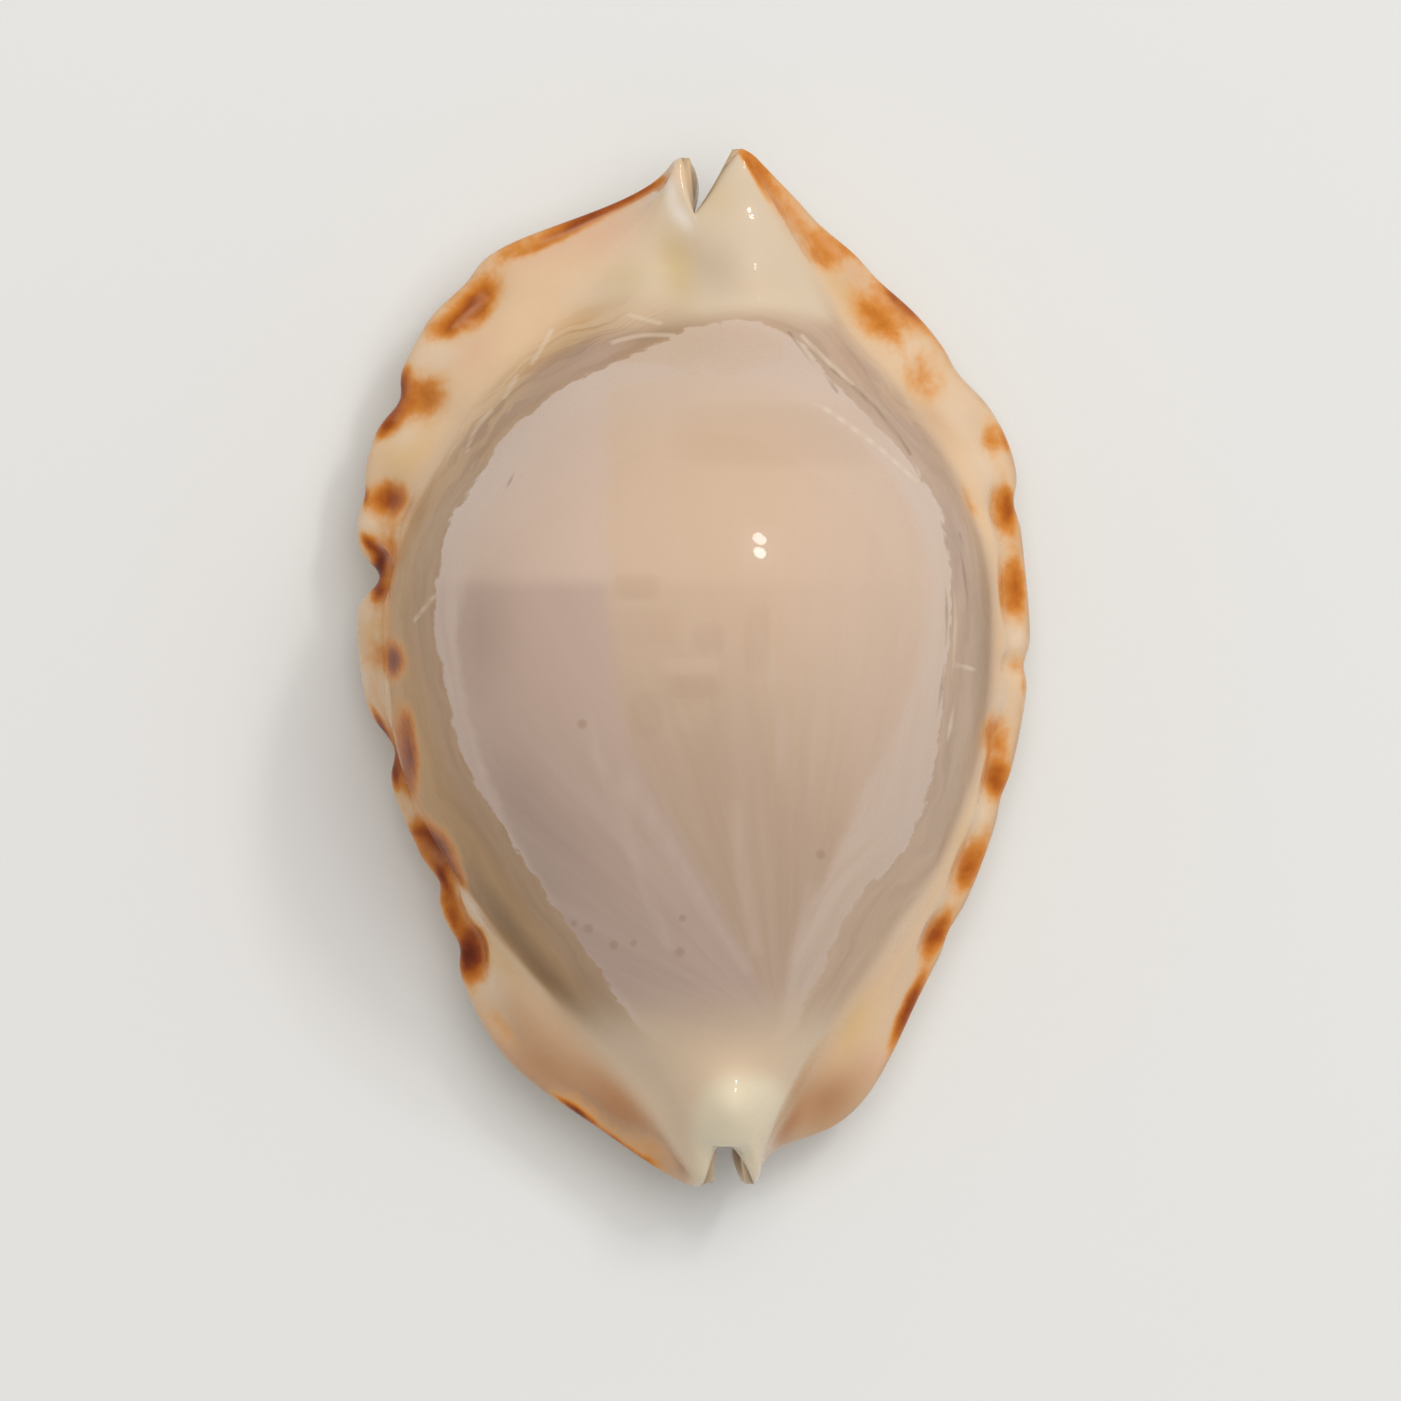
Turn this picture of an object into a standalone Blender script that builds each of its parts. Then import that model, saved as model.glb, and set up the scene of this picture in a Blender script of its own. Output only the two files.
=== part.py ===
"""A margined cowrie shell, lying aperture down, as one hollow solid.

The shell grew as one piece: a swollen dome, a thick scalloped flange round it, and a
base split from end to end by the toothed aperture, which runs out through an open canal
at each end. The wall is a loft. Seven rails run the length of the shell, and the points
of one number on all of them lie on one section. A smooth closed curve is drawn across
the rails at each station, round the outside and back through the cavity, and the curves
are joined into one skin.

+Z is up through the dome, +Y points to the spire end, and the origin is under the middle
of the shell. Lengths are millimetres until the mesh is made.
"""

import bmesh
import bpy
import numpy as np

MM = 0.001

# ---- driving dimensions -------------------------------------------------------------
DOME_WALL = 1.7          # wall of the dome
CANAL_WALL = 1.0         # wall of the canals at both ends
CANAL_FADE = 1.8         # how fast the canals' sections grow into the body's
BASE_WALL = 2.6          # thickness of the base behind the lips
EDGE_THICK = 1.5         # half thickness of the flange at its rolled edge
DOME_POWER = 2.15        # 2 makes the dome's sections elliptic, more makes them boxier
BLUNT_POWER = 0.45       # how much boxier they are where the dome drops to the spire end
BLUNT_AT, BLUNT_REACH = 0.80, 0.09
FRONT_ARCH = 7.0         # how square the arch over the front canal is
SPIRE_NOTCH = 1.15       # how square the notch at the spire end is
RIM_SHARE = 0.012        # share of the length over which a canal's rim rounds off
TEETH = 27               # teeth along each lip
TOOTH_RISE = 0.36        # how far a tooth stands out
TEETH_FROM, TEETH_TO = 0.07, 0.93           # share of the length that carries teeth

# ---- rails, each from the front canal to the spire end ------------------------------
CREST = [(1.55, -26.6, 10.2), (1.6, -25.6, 10.9), (1.6, -23.4, 11.7), (1.5, -20.2, 13.6),
         (1.1, -15.6, 17.9), (0.7, -9.6, 22.8), (0.4, -3.0, 26.3), (0.3, 3.6, 27.5),
         (0.4, 9.4, 26.2), (0.7, 13.9, 22.4), (0.95, 16.9, 17.4), (1.0, 18.9, 12.6),
         (0.9, 20.9, 10.7), (0.5, 23.3, 10.2), (0.05, 25.35, 10.2)]
FOOT_LEFT = [(0.4, -28.62, 7.6), (-0.5, -27.4, 8.2), (-1.7, -24.9, 8.5),
             (-4.7, -21.0, 8.5), (-8.9, -17.0, 8.6), (-12.9, -11.8, 8.7),
             (-16.0, -5.8, 8.8), (-16.95, 1.2, 8.8), (-16.1, 7.2, 8.9), (-13.4, 12.0, 9.0),
             (-10.0, 16.0, 9.0), (-6.6, 19.0, 9.0), (-4.1, 22.2, 9.1), (-2.2, 25.4, 9.6),
             (-0.95, 28.45, 10.0)]
FOOT_RIGHT = [(3.65, -28.8, 7.0), (3.9, -27.2, 7.8), (5.0, -24.6, 8.1), (7.3, -20.8, 8.3),
              (10.4, -16.4, 8.5), (13.1, -11.8, 8.6), (15.4, -5.6, 8.7), (16.4, 1.2, 8.8),
              (15.8, 6.9, 8.9), (13.6, 11.9, 9.0), (10.5, 15.8, 9.0), (8.0, 18.8, 9.0),
              (6.3, 22.0, 9.2), (4.7, 25.2, 9.5), (2.85, 28.95, 9.9)]
MARGIN_LEFT = [(0.1, -29.0, 6.0), (-1.6, -28.1, 6.0), (-5.0, -25.8, 5.8),
               (-9.4, -22.75, 5.5), (-12.5, -18.6, 5.1), (-14.65, -12.3, 4.9),
               (-17.3, -5.9, 4.8), (-18.75, 0.4, 4.8), (-18.9, 7.4, 5.0), (-17.9, 12.9, 5.2),
               (-15.2, 18.8, 5.6), (-11.9, 22.7, 6.0), (-7.2, 24.8, 6.5),
               (-2.6, 26.85, 7.0), (-0.95, 28.5, 8.6)]
MARGIN_RIGHT = [(3.65, -28.85, 5.2), (4.1, -27.3, 5.0), (7.4, -25.7, 4.9),
                (10.8, -22.1, 4.8), (12.9, -17.9, 4.7), (15.4, -12.8, 4.6),
                (17.75, -5.9, 4.5), (18.85, 1.6, 4.5), (18.4, 7.3, 4.7), (17.5, 12.8, 5.0),
                (13.8, 18.2, 5.5), (10.9, 21.4, 6.0), (8.1, 24.0, 6.5), (5.2, 26.7, 7.2),
                (2.9, 29.0, 8.6)]
LIP_LEFT = [(0.65, -28.4, 3.9), (0.6, -27.4, 3.0), (0.4, -25.2, 1.9), (-0.1, -21.6, 0.9),
            (-1.2, -17.2, 0.45), (-2.7, -11.8, 0.3), (-3.6, -6.0, 0.3), (-4.15, 0.2, 0.3),
            (-4.25, 6.2, 0.3), (-3.7, 11.8, 0.35), (-2.8, 16.4, 0.6), (-1.8, 20.0, 1.2),
            (-0.8, 23.2, 2.2), (0.3, 26.3, 3.9), (0.0, 28.0, 5.8)]
LIP_RIGHT = [(2.7, -28.65, 3.7), (2.15, -27.3, 2.9), (2.3, -25.0, 1.9), (2.0, -21.4, 0.9),
             (1.4, -17.0, 0.4), (0.3, -11.7, 0.3), (-0.55, -6.0, 0.3), (-1.2, 0.2, 0.3),
             (-1.5, 6.2, 0.3), (-1.3, 11.8, 0.35), (-0.7, 16.4, 0.6), (0.0, 20.1, 1.2),
             (0.7, 23.3, 2.2), (1.25, 26.0, 3.7), (2.2, 28.6, 5.6)]

# ---- dents of the scalloped edge: place along y, depth, half width -------------------
DENTS_LEFT = [(21.4, 0.6, 1.2), (14.9, 0.65, 1.1), (9.7, 0.25, 0.9), (5.1, 1.3, 1.1),
              (-4.4, 0.95, 1.4), (-11.9, 0.45, 0.9), (-15.4, 0.45, 1.0)]
DENTS_RIGHT = [(24.6, 0.25, 1.2), (21.6, 0.3, 1.2), (16.4, 0.4, 1.2), (9.2, 0.35, 1.0),
               (0.2, 0.3, 0.8), (-7.2, 0.15, 0.9), (-14.6, 0.2, 0.9)]

# ---- strength of the groove round the dome's foot, by place along y -------------------
GROOVE_LEFT = [(-25.0, 0.0), (-19.0, 0.35), (-12.0, 0.9), (-4.0, 1.0), (5.0, 0.95),
               (11.0, 0.45), (17.0, 0.05), (24.0, 0.0)]
GROOVE_RIGHT = [(-28.0, 0.6), (-24.0, 0.75), (-18.5, 0.3), (-11.0, 0.6), (-3.0, 0.9),
                (6.0, 0.9), (13.0, 0.6), (18.0, 0.35), (25.0, 0.2)]

# ---- soft bumps on top: place (x, y), rise, radius -----------------------------------
BUMPS = [(3.2, 22.3, 1.0, 2.0), (-0.6, 22.2, -0.9, 1.9), (2.3, -24.3, 1.5, 1.9)]

# ---- shape of a section, between the rails ------------------------------------------
LIP_HEIGHTS = (0.33, 0.65)   # the lip's edge and its inside, as shares of the base wall
LIP_ROUND = (0.2, 0.4)       # how far the lip's corner lies out: at the canals, and more inland
LIP_BACK = 0.3               # how far the lip falls back behind its edge
CANAL_LIP = 0.4              # height of the lips at the canals, as a share of that inland
TOOTH_ROOT = 0.45            # where a tooth dies out, on the way from the lip to the base
BASE_AT = 0.42               # where the base is lowest, on the way from the lip to the edge
BASE_SAG = 0.45              # how far it sags there
CANAL_BASE = 0.2             # its height at the canals, on the way from the lip to the edge
SKIRT = (0.6, 0.22)          # the base's outer slope: shares of the way out and of the rise
EDGE_TURN = 1.1              # distance over which the flange's edge rolls over
EDGE_TOP = 0.85              # height of the roll above the edge, in half thicknesses
TERRACE = (0.6, 0.25)        # the flange's top: shares of the way in and of the rise
TERRACE_FAIR = 0.65          # its share of the rise where no groove runs inside it
GROOVE = (0.25, 1.4)         # groove round the dome's foot: how far out, how deep
FAIR = (0.45, 0.4)           # that point where there is none: shares of the way to the terrace
DOME_EASE = 0.9              # how much less steep the dome's foot is there, at the spire end
FOOT_EASE = 0.8              # how much the dome's foot is rounded off there, each round
EASE_ROUNDS = 3
CAVITY_SHOULDER = 0.8        # how far the cavity's widest line lies below the foot, in walls
CAVITY_TURN = 0.6            # how much the cavity's lower corner is drawn in, in walls
CAVITY_CORNER = 0.62         # height of that corner between the base and the dome's foot
CAVITY_FLOOR = 0.75          # where the floor is thickest, on the way from lip to base
LIP_SHADE = 0.7              # how far the cavity's floor stops short of the lip's edge

# ---- the curve across the rails -----------------------------------------------------
DOME_ANGLES = np.radians([12.0, 28.0, 45.0, 62.0, 77.0])
EDGE_PLACE = 7           # the flange's edge, among the outside's control points
DOME_START = 11          # the dome's foot: from here up the columns come closer
RIM_STEPS = np.array([0.5, 0.8])      # how far the last stations are into the round

# Where each control point of the outer half lies against the inner half, counted from
# the lip up: the two come together like this round the rim of a canal.
FACING = np.array([0.0, 0.2, 0.5, 0.8, 1.1, 1.5, 1.8, 2.0, 2.2, 2.5, 2.8, 3.0, 4.0, 5.0,
                   6.0, 7.0, 8.0, 9.0])
OUTER_END = 2 * (len(FACING) - 1)           # last control point of the outside
INNER_START = OUTER_END + 1                 # behind the right lip
INNER_END = INNER_START + 2 * int(FACING[-1])


def shared_stations(rails):
    """Where the sections lie: their mean share of the way along all the rails."""
    steps = np.linalg.norm(np.diff(rails, axis=1), axis=2)
    shares = np.cumsum(steps, axis=1) / steps.sum(axis=1, keepdims=True)
    return np.concatenate([[0.0], shares.mean(axis=0)])


def natural_spline(knots_at, knots, at):
    """Natural cubic spline through the knots, read at the stations."""
    steps = np.diff(knots_at)
    slopes = np.diff(knots, axis=0) / steps[:, None]
    count = len(knots)
    system = np.eye(count)
    load = np.zeros_like(knots)
    for i in range(1, count - 1):
        system[i, i - 1:i + 2] = (steps[i - 1], 2 * (steps[i - 1] + steps[i]), steps[i])
        load[i] = 6 * (slopes[i] - slopes[i - 1])
    bend = np.linalg.solve(system, load)
    k = np.clip(np.searchsorted(knots_at, at, side="right") - 1, 0, count - 2)
    h = steps[k][:, None]
    b = (at - knots_at[k])[:, None] / h
    a = 1 - b
    curve = (a ** 3 - a) * bend[k] + (b ** 3 - b) * bend[k + 1]
    return a * knots[k] + b * knots[k + 1] + curve * h ** 2 / 6


def read_rails(stations):
    """Every rail at the stations, by name."""
    named = {"crest": CREST, "foot left": FOOT_LEFT, "foot right": FOOT_RIGHT,
             "margin left": MARGIN_LEFT, "margin right": MARGIN_RIGHT,
             "lip left": LIP_LEFT, "lip right": LIP_RIGHT}
    knots_at = shared_stations(np.array(list(named.values())))
    return {name: natural_spline(knots_at, np.array(points), stations)
            for name, points in named.items()}


def moved(points, outwards, upwards, side):
    """The points shifted away from the middle of the shell and up."""
    shift = np.zeros_like(points)
    shift[:, 0] = side * outwards
    shift[:, 2] = upwards
    return points + shift


def between(first, second, share, rise_share):
    """Points part of the way from one rail to another, with their own share in height."""
    points = first + (second - first) * share
    points[:, 2] = first[:, 2] + (second[:, 2] - first[:, 2]) * rise_share
    return points


def mixed(low, high, amount):
    """A value between two others, low where the amount is 0 and high where it is 1."""
    return low + (high - low) * amount


def groove_strength(foot, places):
    """How strong the groove is at each point of the dome's foot."""
    knots = np.array(places)
    y = np.clip(foot[:, 1], knots[0, 0], knots[-1, 0])
    return np.clip(natural_spline(knots[:, 0], knots[:, 1:], y)[:, 0], 0.0, 1.0)


def eased(points, first, last, amount):
    """The control points from the first to the last drawn towards their neighbours."""
    for _ in range(EASE_ROUNDS):
        calmer = [points[k] + amount * ((points[k - 1] + points[k + 1]) / 2 - points[k])
                  for k in range(first, last + 1)]
        points = points[:first] + calmer + points[last + 1:]
    return points


def dented(margin, dents, side):
    """The flange's edge pulled inwards at each dent."""
    pull = sum(depth * np.exp(-((margin[:, 1] - place) / half_width) ** 2)
               for place, depth, half_width in dents)
    return moved(margin, -pull, 0.0, side)


def dome_points(foot, crest, power, squareness):
    """Quarter of a superellipse from the dome's foot up to just under its crest."""
    points = []
    for angle in DOME_ANGLES:
        out = np.cos(angle) ** (2 / power)
        up = np.sin(angle) ** (2 / power)
        point = crest + out[:, None] * (foot - crest)
        point[:, 1] = crest[:, 1] + out ** squareness * (foot[:, 1] - crest[:, 1])
        point[:, 2] = foot[:, 2] + up * (crest[:, 2] - foot[:, 2])
        points.append(point)
    return points


def outer_half(lip, base, margin, foot, dome, body, tooth, groove, side):
    """Control points of the outside, from inside the lip to just under the crest."""
    thick = EDGE_THICK * (0.25 + 0.75 * body)
    tall = BASE_WALL * (CANAL_LIP + (1 - CANAL_LIP) * body)
    round_off = LIP_ROUND[0] + LIP_ROUND[1] * body
    terrace = between(moved(margin, 0.0, thick, side), foot, TERRACE[0],
                      mixed(TERRACE_FAIR, TERRACE[1], groove))
    sunk = moved(foot, GROOVE[0] * body, -GROOVE[1], side)
    points = [
        moved(lip, LIP_BACK * body - 0.6 * tooth, LIP_HEIGHTS[1] * tall, side),
        moved(lip, -tooth, LIP_HEIGHTS[0] * tall, side),
        moved(lip, round_off - 0.5 * tooth, -0.7 * tooth, side),
        moved(between(lip, base, TOOTH_ROOT, 0.85), 0.0, -0.5 * tooth, side),
        base,
        between(base, margin, *SKIRT),
        moved(margin, -EDGE_TURN * body, -thick, side),
        margin,
        moved(margin, -EDGE_TURN * body, EDGE_TOP * thick, side),
        terrace,
        mixed(between(foot, terrace, *FAIR), sunk, groove[:, None]),
        foot,
    ] + dome
    amount = FOOT_EASE * (1 - groove)
    return eased(points, DOME_START - 1, DOME_START + 2, amount[:, None])


def inner_half(lip, base, foot, inside, dome, wall, body, side):
    """Control points of the cavity, from just under its top down to behind the lip."""
    floor = CANAL_WALL + (BASE_WALL - CANAL_WALL) * body
    corner = moved(foot, -wall * (1 + CAVITY_TURN * body), 0.0, side)
    corner[:, 2] = base[:, 2] + CAVITY_CORNER * (foot[:, 2] - base[:, 2])
    rise = np.outer(floor + CANAL_WALL * (1 - body), [0.0, 0.0, 1.0])
    return dome[::-1] + [
        inside,
        corner,
        lip + (base - lip) * CAVITY_FLOOR * body[:, None] + rise,
        moved(lip, LIP_SHADE * body, floor + 0.25 * body, side),
    ]


def sections(stations, tooth):
    """Closed control polygons across the shell, one for each station."""
    rails = read_rails(stations)
    body = np.clip(CANAL_FADE * np.sin(np.pi * stations), 0.0, 1.0)
    wall = CANAL_WALL + (DOME_WALL - CANAL_WALL) * body
    power = DOME_POWER + BLUNT_POWER * np.exp(-((stations - BLUNT_AT) / BLUNT_REACH) ** 2)
    squareness = SPIRE_NOTCH + (FRONT_ARCH - SPIRE_NOTCH) * (1 - stations) ** 2
    crest = rails["crest"]
    ceiling = moved(crest, 0.0, -wall, 1)
    halves = {}
    for name, dents, places, side in (("left", DENTS_LEFT, GROOVE_LEFT, -1),
                                      ("right", DENTS_RIGHT, GROOVE_RIGHT, 1)):
        lip, foot = rails["lip " + name], rails["foot " + name]
        groove = groove_strength(foot, places)
        fair = power - DOME_EASE * (1 - groove) * stations
        margin = dented(rails["margin " + name], dents, side)
        base = between(lip, margin, BASE_AT, CANAL_BASE * (1 - body))
        base[:, 2] -= BASE_SAG * body
        dome = dome_points(foot, crest, fair, squareness)
        inside = moved(foot, -wall, -CAVITY_SHOULDER * wall, side)
        inner_dome = dome_points(inside, ceiling, fair, squareness)
        halves[name] = (outer_half(lip, base, margin, foot, dome, body, tooth, groove, side),
                        inner_half(lip, base, foot, inside, inner_dome, wall, body, side))
    outside = halves["left"][0] + [crest] + halves["right"][0][::-1]
    cavity = halves["right"][1][::-1] + [ceiling] + halves["left"][1]
    return np.stack(outside + cavity, axis=1)


def read_curve(polygons, at):
    """Closed cubic B-spline of each control polygon, read at places round it."""
    first = np.floor(at).astype(int)
    t = (at - first)[None, :, None]
    count = polygons.shape[1]
    before, start, end, after = (polygons[:, (first + k) % count] for k in (-1, 0, 1, 2))
    return ((1 - t) ** 3 * before + (3 * t ** 3 - 6 * t ** 2 + 4) * start
            + (-3 * t ** 3 + 3 * t ** 2 + 3 * t + 1) * end + t ** 3 * after) / 6


def through(polygons):
    """Control polygons pushed out, so that the curve comes close to the given points."""
    reached = read_curve(polygons, np.arange(polygons.shape[1], dtype=float))
    return polygons + (polygons - reached)


def outer_places():
    """Places round the outside of the section, two to a span over the dome."""
    dome = np.arange(DOME_START, OUTER_END - DOME_START, 0.5)
    far_side = np.arange(OUTER_END - DOME_START, OUTER_END + 1)
    return np.concatenate([np.arange(DOME_START), dome, far_side])


def bumped(points):
    """The soft bumps of the spire end and of the front canal's back, raised."""
    raised = points.copy()
    for x, y, rise, radius in BUMPS:
        gap = np.hypot(points[..., 0] - x, points[..., 1] - y) / radius
        raised[..., 2] += rise * np.exp(-gap ** 2)
    return raised


def drawn_together(curve, partner, rims):
    """Both walls narrowed to a round edge towards a canal's rim."""
    middle = (curve + partner) / 2
    return middle + (curve - middle) * np.sqrt(1 - rims ** 2)[:, None, None]


def skin():
    """Two grids of points, a row to each station: the outside, and the cavity."""
    body = np.linspace(RIM_SHARE, 1 - RIM_SHARE, 2 * TEETH + 11)
    turned = RIM_SHARE * (1 - RIM_STEPS)
    stations = np.concatenate([turned[::-1], body, 1 - turned])
    rims = np.concatenate([RIM_STEPS[::-1], np.zeros(len(body)), RIM_STEPS])
    tooth = np.zeros(len(stations))
    tooth[::2] = TOOTH_RISE
    tooth[(stations < TEETH_FROM) | (stations > TEETH_TO)] = 0.0
    curves = through(sections(stations, tooth))

    outer_at = outer_places()
    inner_at = np.arange(INNER_START, INNER_END + 1, dtype=float)
    every = np.arange(OUTER_END + 1)
    facing = np.concatenate([INNER_END - FACING, INNER_START + FACING[-2::-1]])
    outer = read_curve(curves, outer_at)
    inner = read_curve(curves, inner_at)
    outer_partner = read_curve(curves, np.interp(outer_at, every, facing))
    inner_partner = read_curve(curves, np.interp(inner_at, facing[::-1], every[::-1]))
    outer = drawn_together(outer, outer_partner, rims)
    inner = drawn_together(inner, inner_partner, rims)
    upper = (outer_at > EDGE_PLACE) & (outer_at < OUTER_END - EDGE_PLACE)
    outer[:, upper] = bumped(outer[:, upper])
    return outer, inner


def rim_faces(row, outer_count, columns):
    """Triangles that close a canal's rim, between the outside and the cavity's wall."""
    start = row * columns
    outer_last = outer_count - 1
    inner_steps = columns - 1 - outer_count
    faces = []
    outer, inner = 0, 0
    while outer < outer_last or inner < inner_steps:
        near = start + outer
        far = start + columns - 1 - inner
        if inner == inner_steps or outer * inner_steps < (inner + 0.5) * outer_last:
            if outer < outer_last:
                faces.append((near, near + 1, far))
                outer += 1
                continue
        faces.append((near, far - 1, far))
        inner += 1
    return faces


def shell_mesh():
    """One closed skin, resting on z = 0 with the origin under its middle."""
    outer, inner = skin()
    points = np.concatenate([outer, inner], axis=1)
    points[..., 2] = np.maximum(points[..., 2], 0.0)
    middle = (points.min(axis=(0, 1)) + points.max(axis=(0, 1))) / 2
    points[..., :2] -= middle[:2]
    rows, columns = points.shape[:2]
    faces = []
    for corner in range((rows - 1) * columns):
        row, column = divmod(corner, columns)
        beside = row * columns + (column + 1) % columns
        faces.append((corner, beside, beside + columns, corner + columns))
    for row in (0, rows - 1):
        faces += rim_faces(row, outer.shape[1], columns)
    mesh = bpy.data.meshes.new("shell")
    mesh.from_pydata((points.reshape(-1, 3) * MM).tolist(), [], faces)
    work = bmesh.new()
    work.from_mesh(mesh)
    bmesh.ops.triangulate(work, faces=work.faces)
    bmesh.ops.recalc_face_normals(work, faces=work.faces)
    work.to_mesh(mesh)
    work.free()
    mesh.shade_smooth()
    return mesh


def enamel():
    """Glossy cream porcelain."""
    material = bpy.data.materials.new("shell enamel")
    material.use_nodes = True
    shader = material.node_tree.nodes["Principled BSDF"]
    shader.inputs["Base Color"].default_value = (0.62, 0.47, 0.35, 1.0)
    shader.inputs["Metallic"].default_value = 0.0
    shader.inputs["Roughness"].default_value = 0.15
    return material


def main():
    for old in list(bpy.data.objects):
        bpy.data.objects.remove(old, do_unlink=True)
    collection = bpy.data.collections.new("cowrie shell")
    bpy.context.scene.collection.children.link(collection)
    shell = bpy.data.objects.new("shell", shell_mesh())
    shell.data.materials.append(enamel())
    collection.objects.link(shell)


main()
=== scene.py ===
# %% [markdown]
# # A margined cowrie shell
#
# A cowrie is a sea snail that hides its spiral. When it is full grown it turns its lip in,
# so that the mouth becomes a toothed slit along the base, and then it spreads two flaps of
# skin over the whole shell and pours glaze on it for the rest of its life. A margined
# cowrie pours most of it along the sides, as a thick wavy flange round a smooth dome.
#
# The shell grew as one piece, so this scene makes one piece. The steps are: the lines that
# the surface runs along, the curve across them, the mesh, the numbers that the finish
# reads, the teeth and pits, the glaze, and last the floor, the lamps and the camera.

import bmesh
import bpy
import numpy as np
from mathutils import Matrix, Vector


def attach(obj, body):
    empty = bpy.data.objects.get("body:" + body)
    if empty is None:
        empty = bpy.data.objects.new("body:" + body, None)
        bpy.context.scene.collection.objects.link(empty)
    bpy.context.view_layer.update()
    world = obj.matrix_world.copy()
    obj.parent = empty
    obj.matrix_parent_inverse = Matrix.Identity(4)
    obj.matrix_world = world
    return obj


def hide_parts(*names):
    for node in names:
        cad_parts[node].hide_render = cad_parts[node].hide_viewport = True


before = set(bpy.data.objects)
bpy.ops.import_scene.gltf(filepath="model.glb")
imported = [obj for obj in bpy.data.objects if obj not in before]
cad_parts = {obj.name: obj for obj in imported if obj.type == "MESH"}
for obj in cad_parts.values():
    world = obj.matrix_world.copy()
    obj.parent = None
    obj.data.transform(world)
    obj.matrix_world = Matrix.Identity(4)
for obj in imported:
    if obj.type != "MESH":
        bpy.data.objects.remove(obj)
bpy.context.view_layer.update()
MM = 0.001

# %% [markdown]
# ## The lines that the surface runs along
#
# A shell could be sculpted, or pushed out of a ball, but its look comes from a few long
# lines: the ridge of the dome, the foot where the dome meets the flange, the flange's edge
# and the two lips. Here each of them is a rail, a smooth curve through points from the
# front canal to the spire end. Points with the same number on all rails lie on one section
# of the shell, which keeps the sections from crossing where the rails crowd together at
# the ends. The rails are those of the solid that this piece stands for.

# %% Rails, from the front canal to the spire end (x, y, z in millimetres)
RAILS = {
    "crest": [
        (1.55, -26.6, 10.2), (1.6, -25.6, 10.9), (1.6, -23.4, 11.7), (1.5, -20.2, 13.6),
        (1.1, -15.6, 17.9), (0.7, -9.6, 22.8), (0.4, -3.0, 26.3), (0.3, 3.6, 27.5),
        (0.4, 9.4, 26.2), (0.7, 13.9, 22.4), (0.95, 16.9, 17.4), (1.0, 18.9, 12.6),
        (0.9, 20.9, 10.7), (0.5, 23.3, 10.2), (0.05, 25.35, 10.2)],
    "foot left": [
        (0.4, -28.62, 7.6), (-0.5, -27.4, 8.2), (-1.7, -24.9, 8.5), (-4.7, -21.0, 8.5),
        (-8.9, -17.0, 8.6), (-12.9, -11.8, 8.7), (-16.0, -5.8, 8.8), (-16.95, 1.2, 8.8),
        (-16.1, 7.2, 8.9), (-13.4, 12.0, 9.0), (-10.0, 16.0, 9.0), (-6.6, 19.0, 9.0),
        (-4.1, 22.2, 9.1), (-2.2, 25.4, 9.6), (-0.95, 28.45, 10.0)],
    "foot right": [
        (3.65, -28.8, 7.0), (3.9, -27.2, 7.8), (5.0, -24.6, 8.1), (7.3, -20.8, 8.3),
        (10.4, -16.4, 8.5), (13.1, -11.8, 8.6), (15.4, -5.6, 8.7), (16.4, 1.2, 8.8),
        (15.8, 6.9, 8.9), (13.6, 11.9, 9.0), (10.5, 15.8, 9.0), (8.0, 18.8, 9.0),
        (6.3, 22.0, 9.2), (4.7, 25.2, 9.5), (2.85, 28.95, 9.9)],
    "margin left": [
        (0.1, -29.0, 6.0), (-1.6, -28.1, 6.0), (-5.0, -25.8, 5.8), (-9.4, -22.75, 5.5),
        (-12.5, -18.6, 5.1), (-14.65, -12.3, 4.9), (-17.3, -5.9, 4.8), (-18.75, 0.4, 4.8),
        (-18.9, 7.4, 5.0), (-17.9, 12.9, 5.2), (-15.2, 18.8, 5.6), (-11.9, 22.7, 6.0),
        (-7.2, 24.8, 6.5), (-2.6, 26.85, 7.0), (-0.95, 28.5, 8.6)],
    "margin right": [
        (3.65, -28.85, 5.2), (4.1, -27.3, 5.0), (7.4, -25.7, 4.9), (10.8, -22.1, 4.8),
        (12.9, -17.9, 4.7), (15.4, -12.8, 4.6), (17.75, -5.9, 4.5), (18.85, 1.6, 4.5),
        (18.4, 7.3, 4.7), (17.5, 12.8, 5.0), (13.8, 18.2, 5.5), (10.9, 21.4, 6.0),
        (8.1, 24.0, 6.5), (5.2, 26.7, 7.2), (2.9, 29.0, 8.6)],
    "lip left": [
        (0.65, -28.4, 3.9), (0.6, -27.4, 3.0), (0.4, -25.2, 1.9), (-0.1, -21.6, 0.9),
        (-1.2, -17.2, 0.45), (-2.7, -11.8, 0.3), (-3.6, -6.0, 0.3), (-4.15, 0.2, 0.3),
        (-4.25, 6.2, 0.3), (-3.7, 11.8, 0.35), (-2.8, 16.4, 0.6), (-1.8, 20.0, 1.2),
        (-0.8, 23.2, 2.2), (0.3, 26.3, 3.9), (0.0, 28.0, 5.8)],
    "lip right": [
        (2.7, -28.65, 3.7), (2.15, -27.3, 2.9), (2.3, -25.0, 1.9), (2.0, -21.4, 0.9),
        (1.4, -17.0, 0.4), (0.3, -11.7, 0.3), (-0.55, -6.0, 0.3), (-1.2, 0.2, 0.3),
        (-1.5, 6.2, 0.3), (-1.3, 11.8, 0.35), (-0.7, 16.4, 0.6), (0.0, 20.1, 1.2),
        (0.7, 23.3, 2.2), (1.25, 26.0, 3.7), (2.2, 28.6, 5.6)],
}
print(len(RAILS), "rails of", len(RAILS["crest"]), "points")

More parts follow.
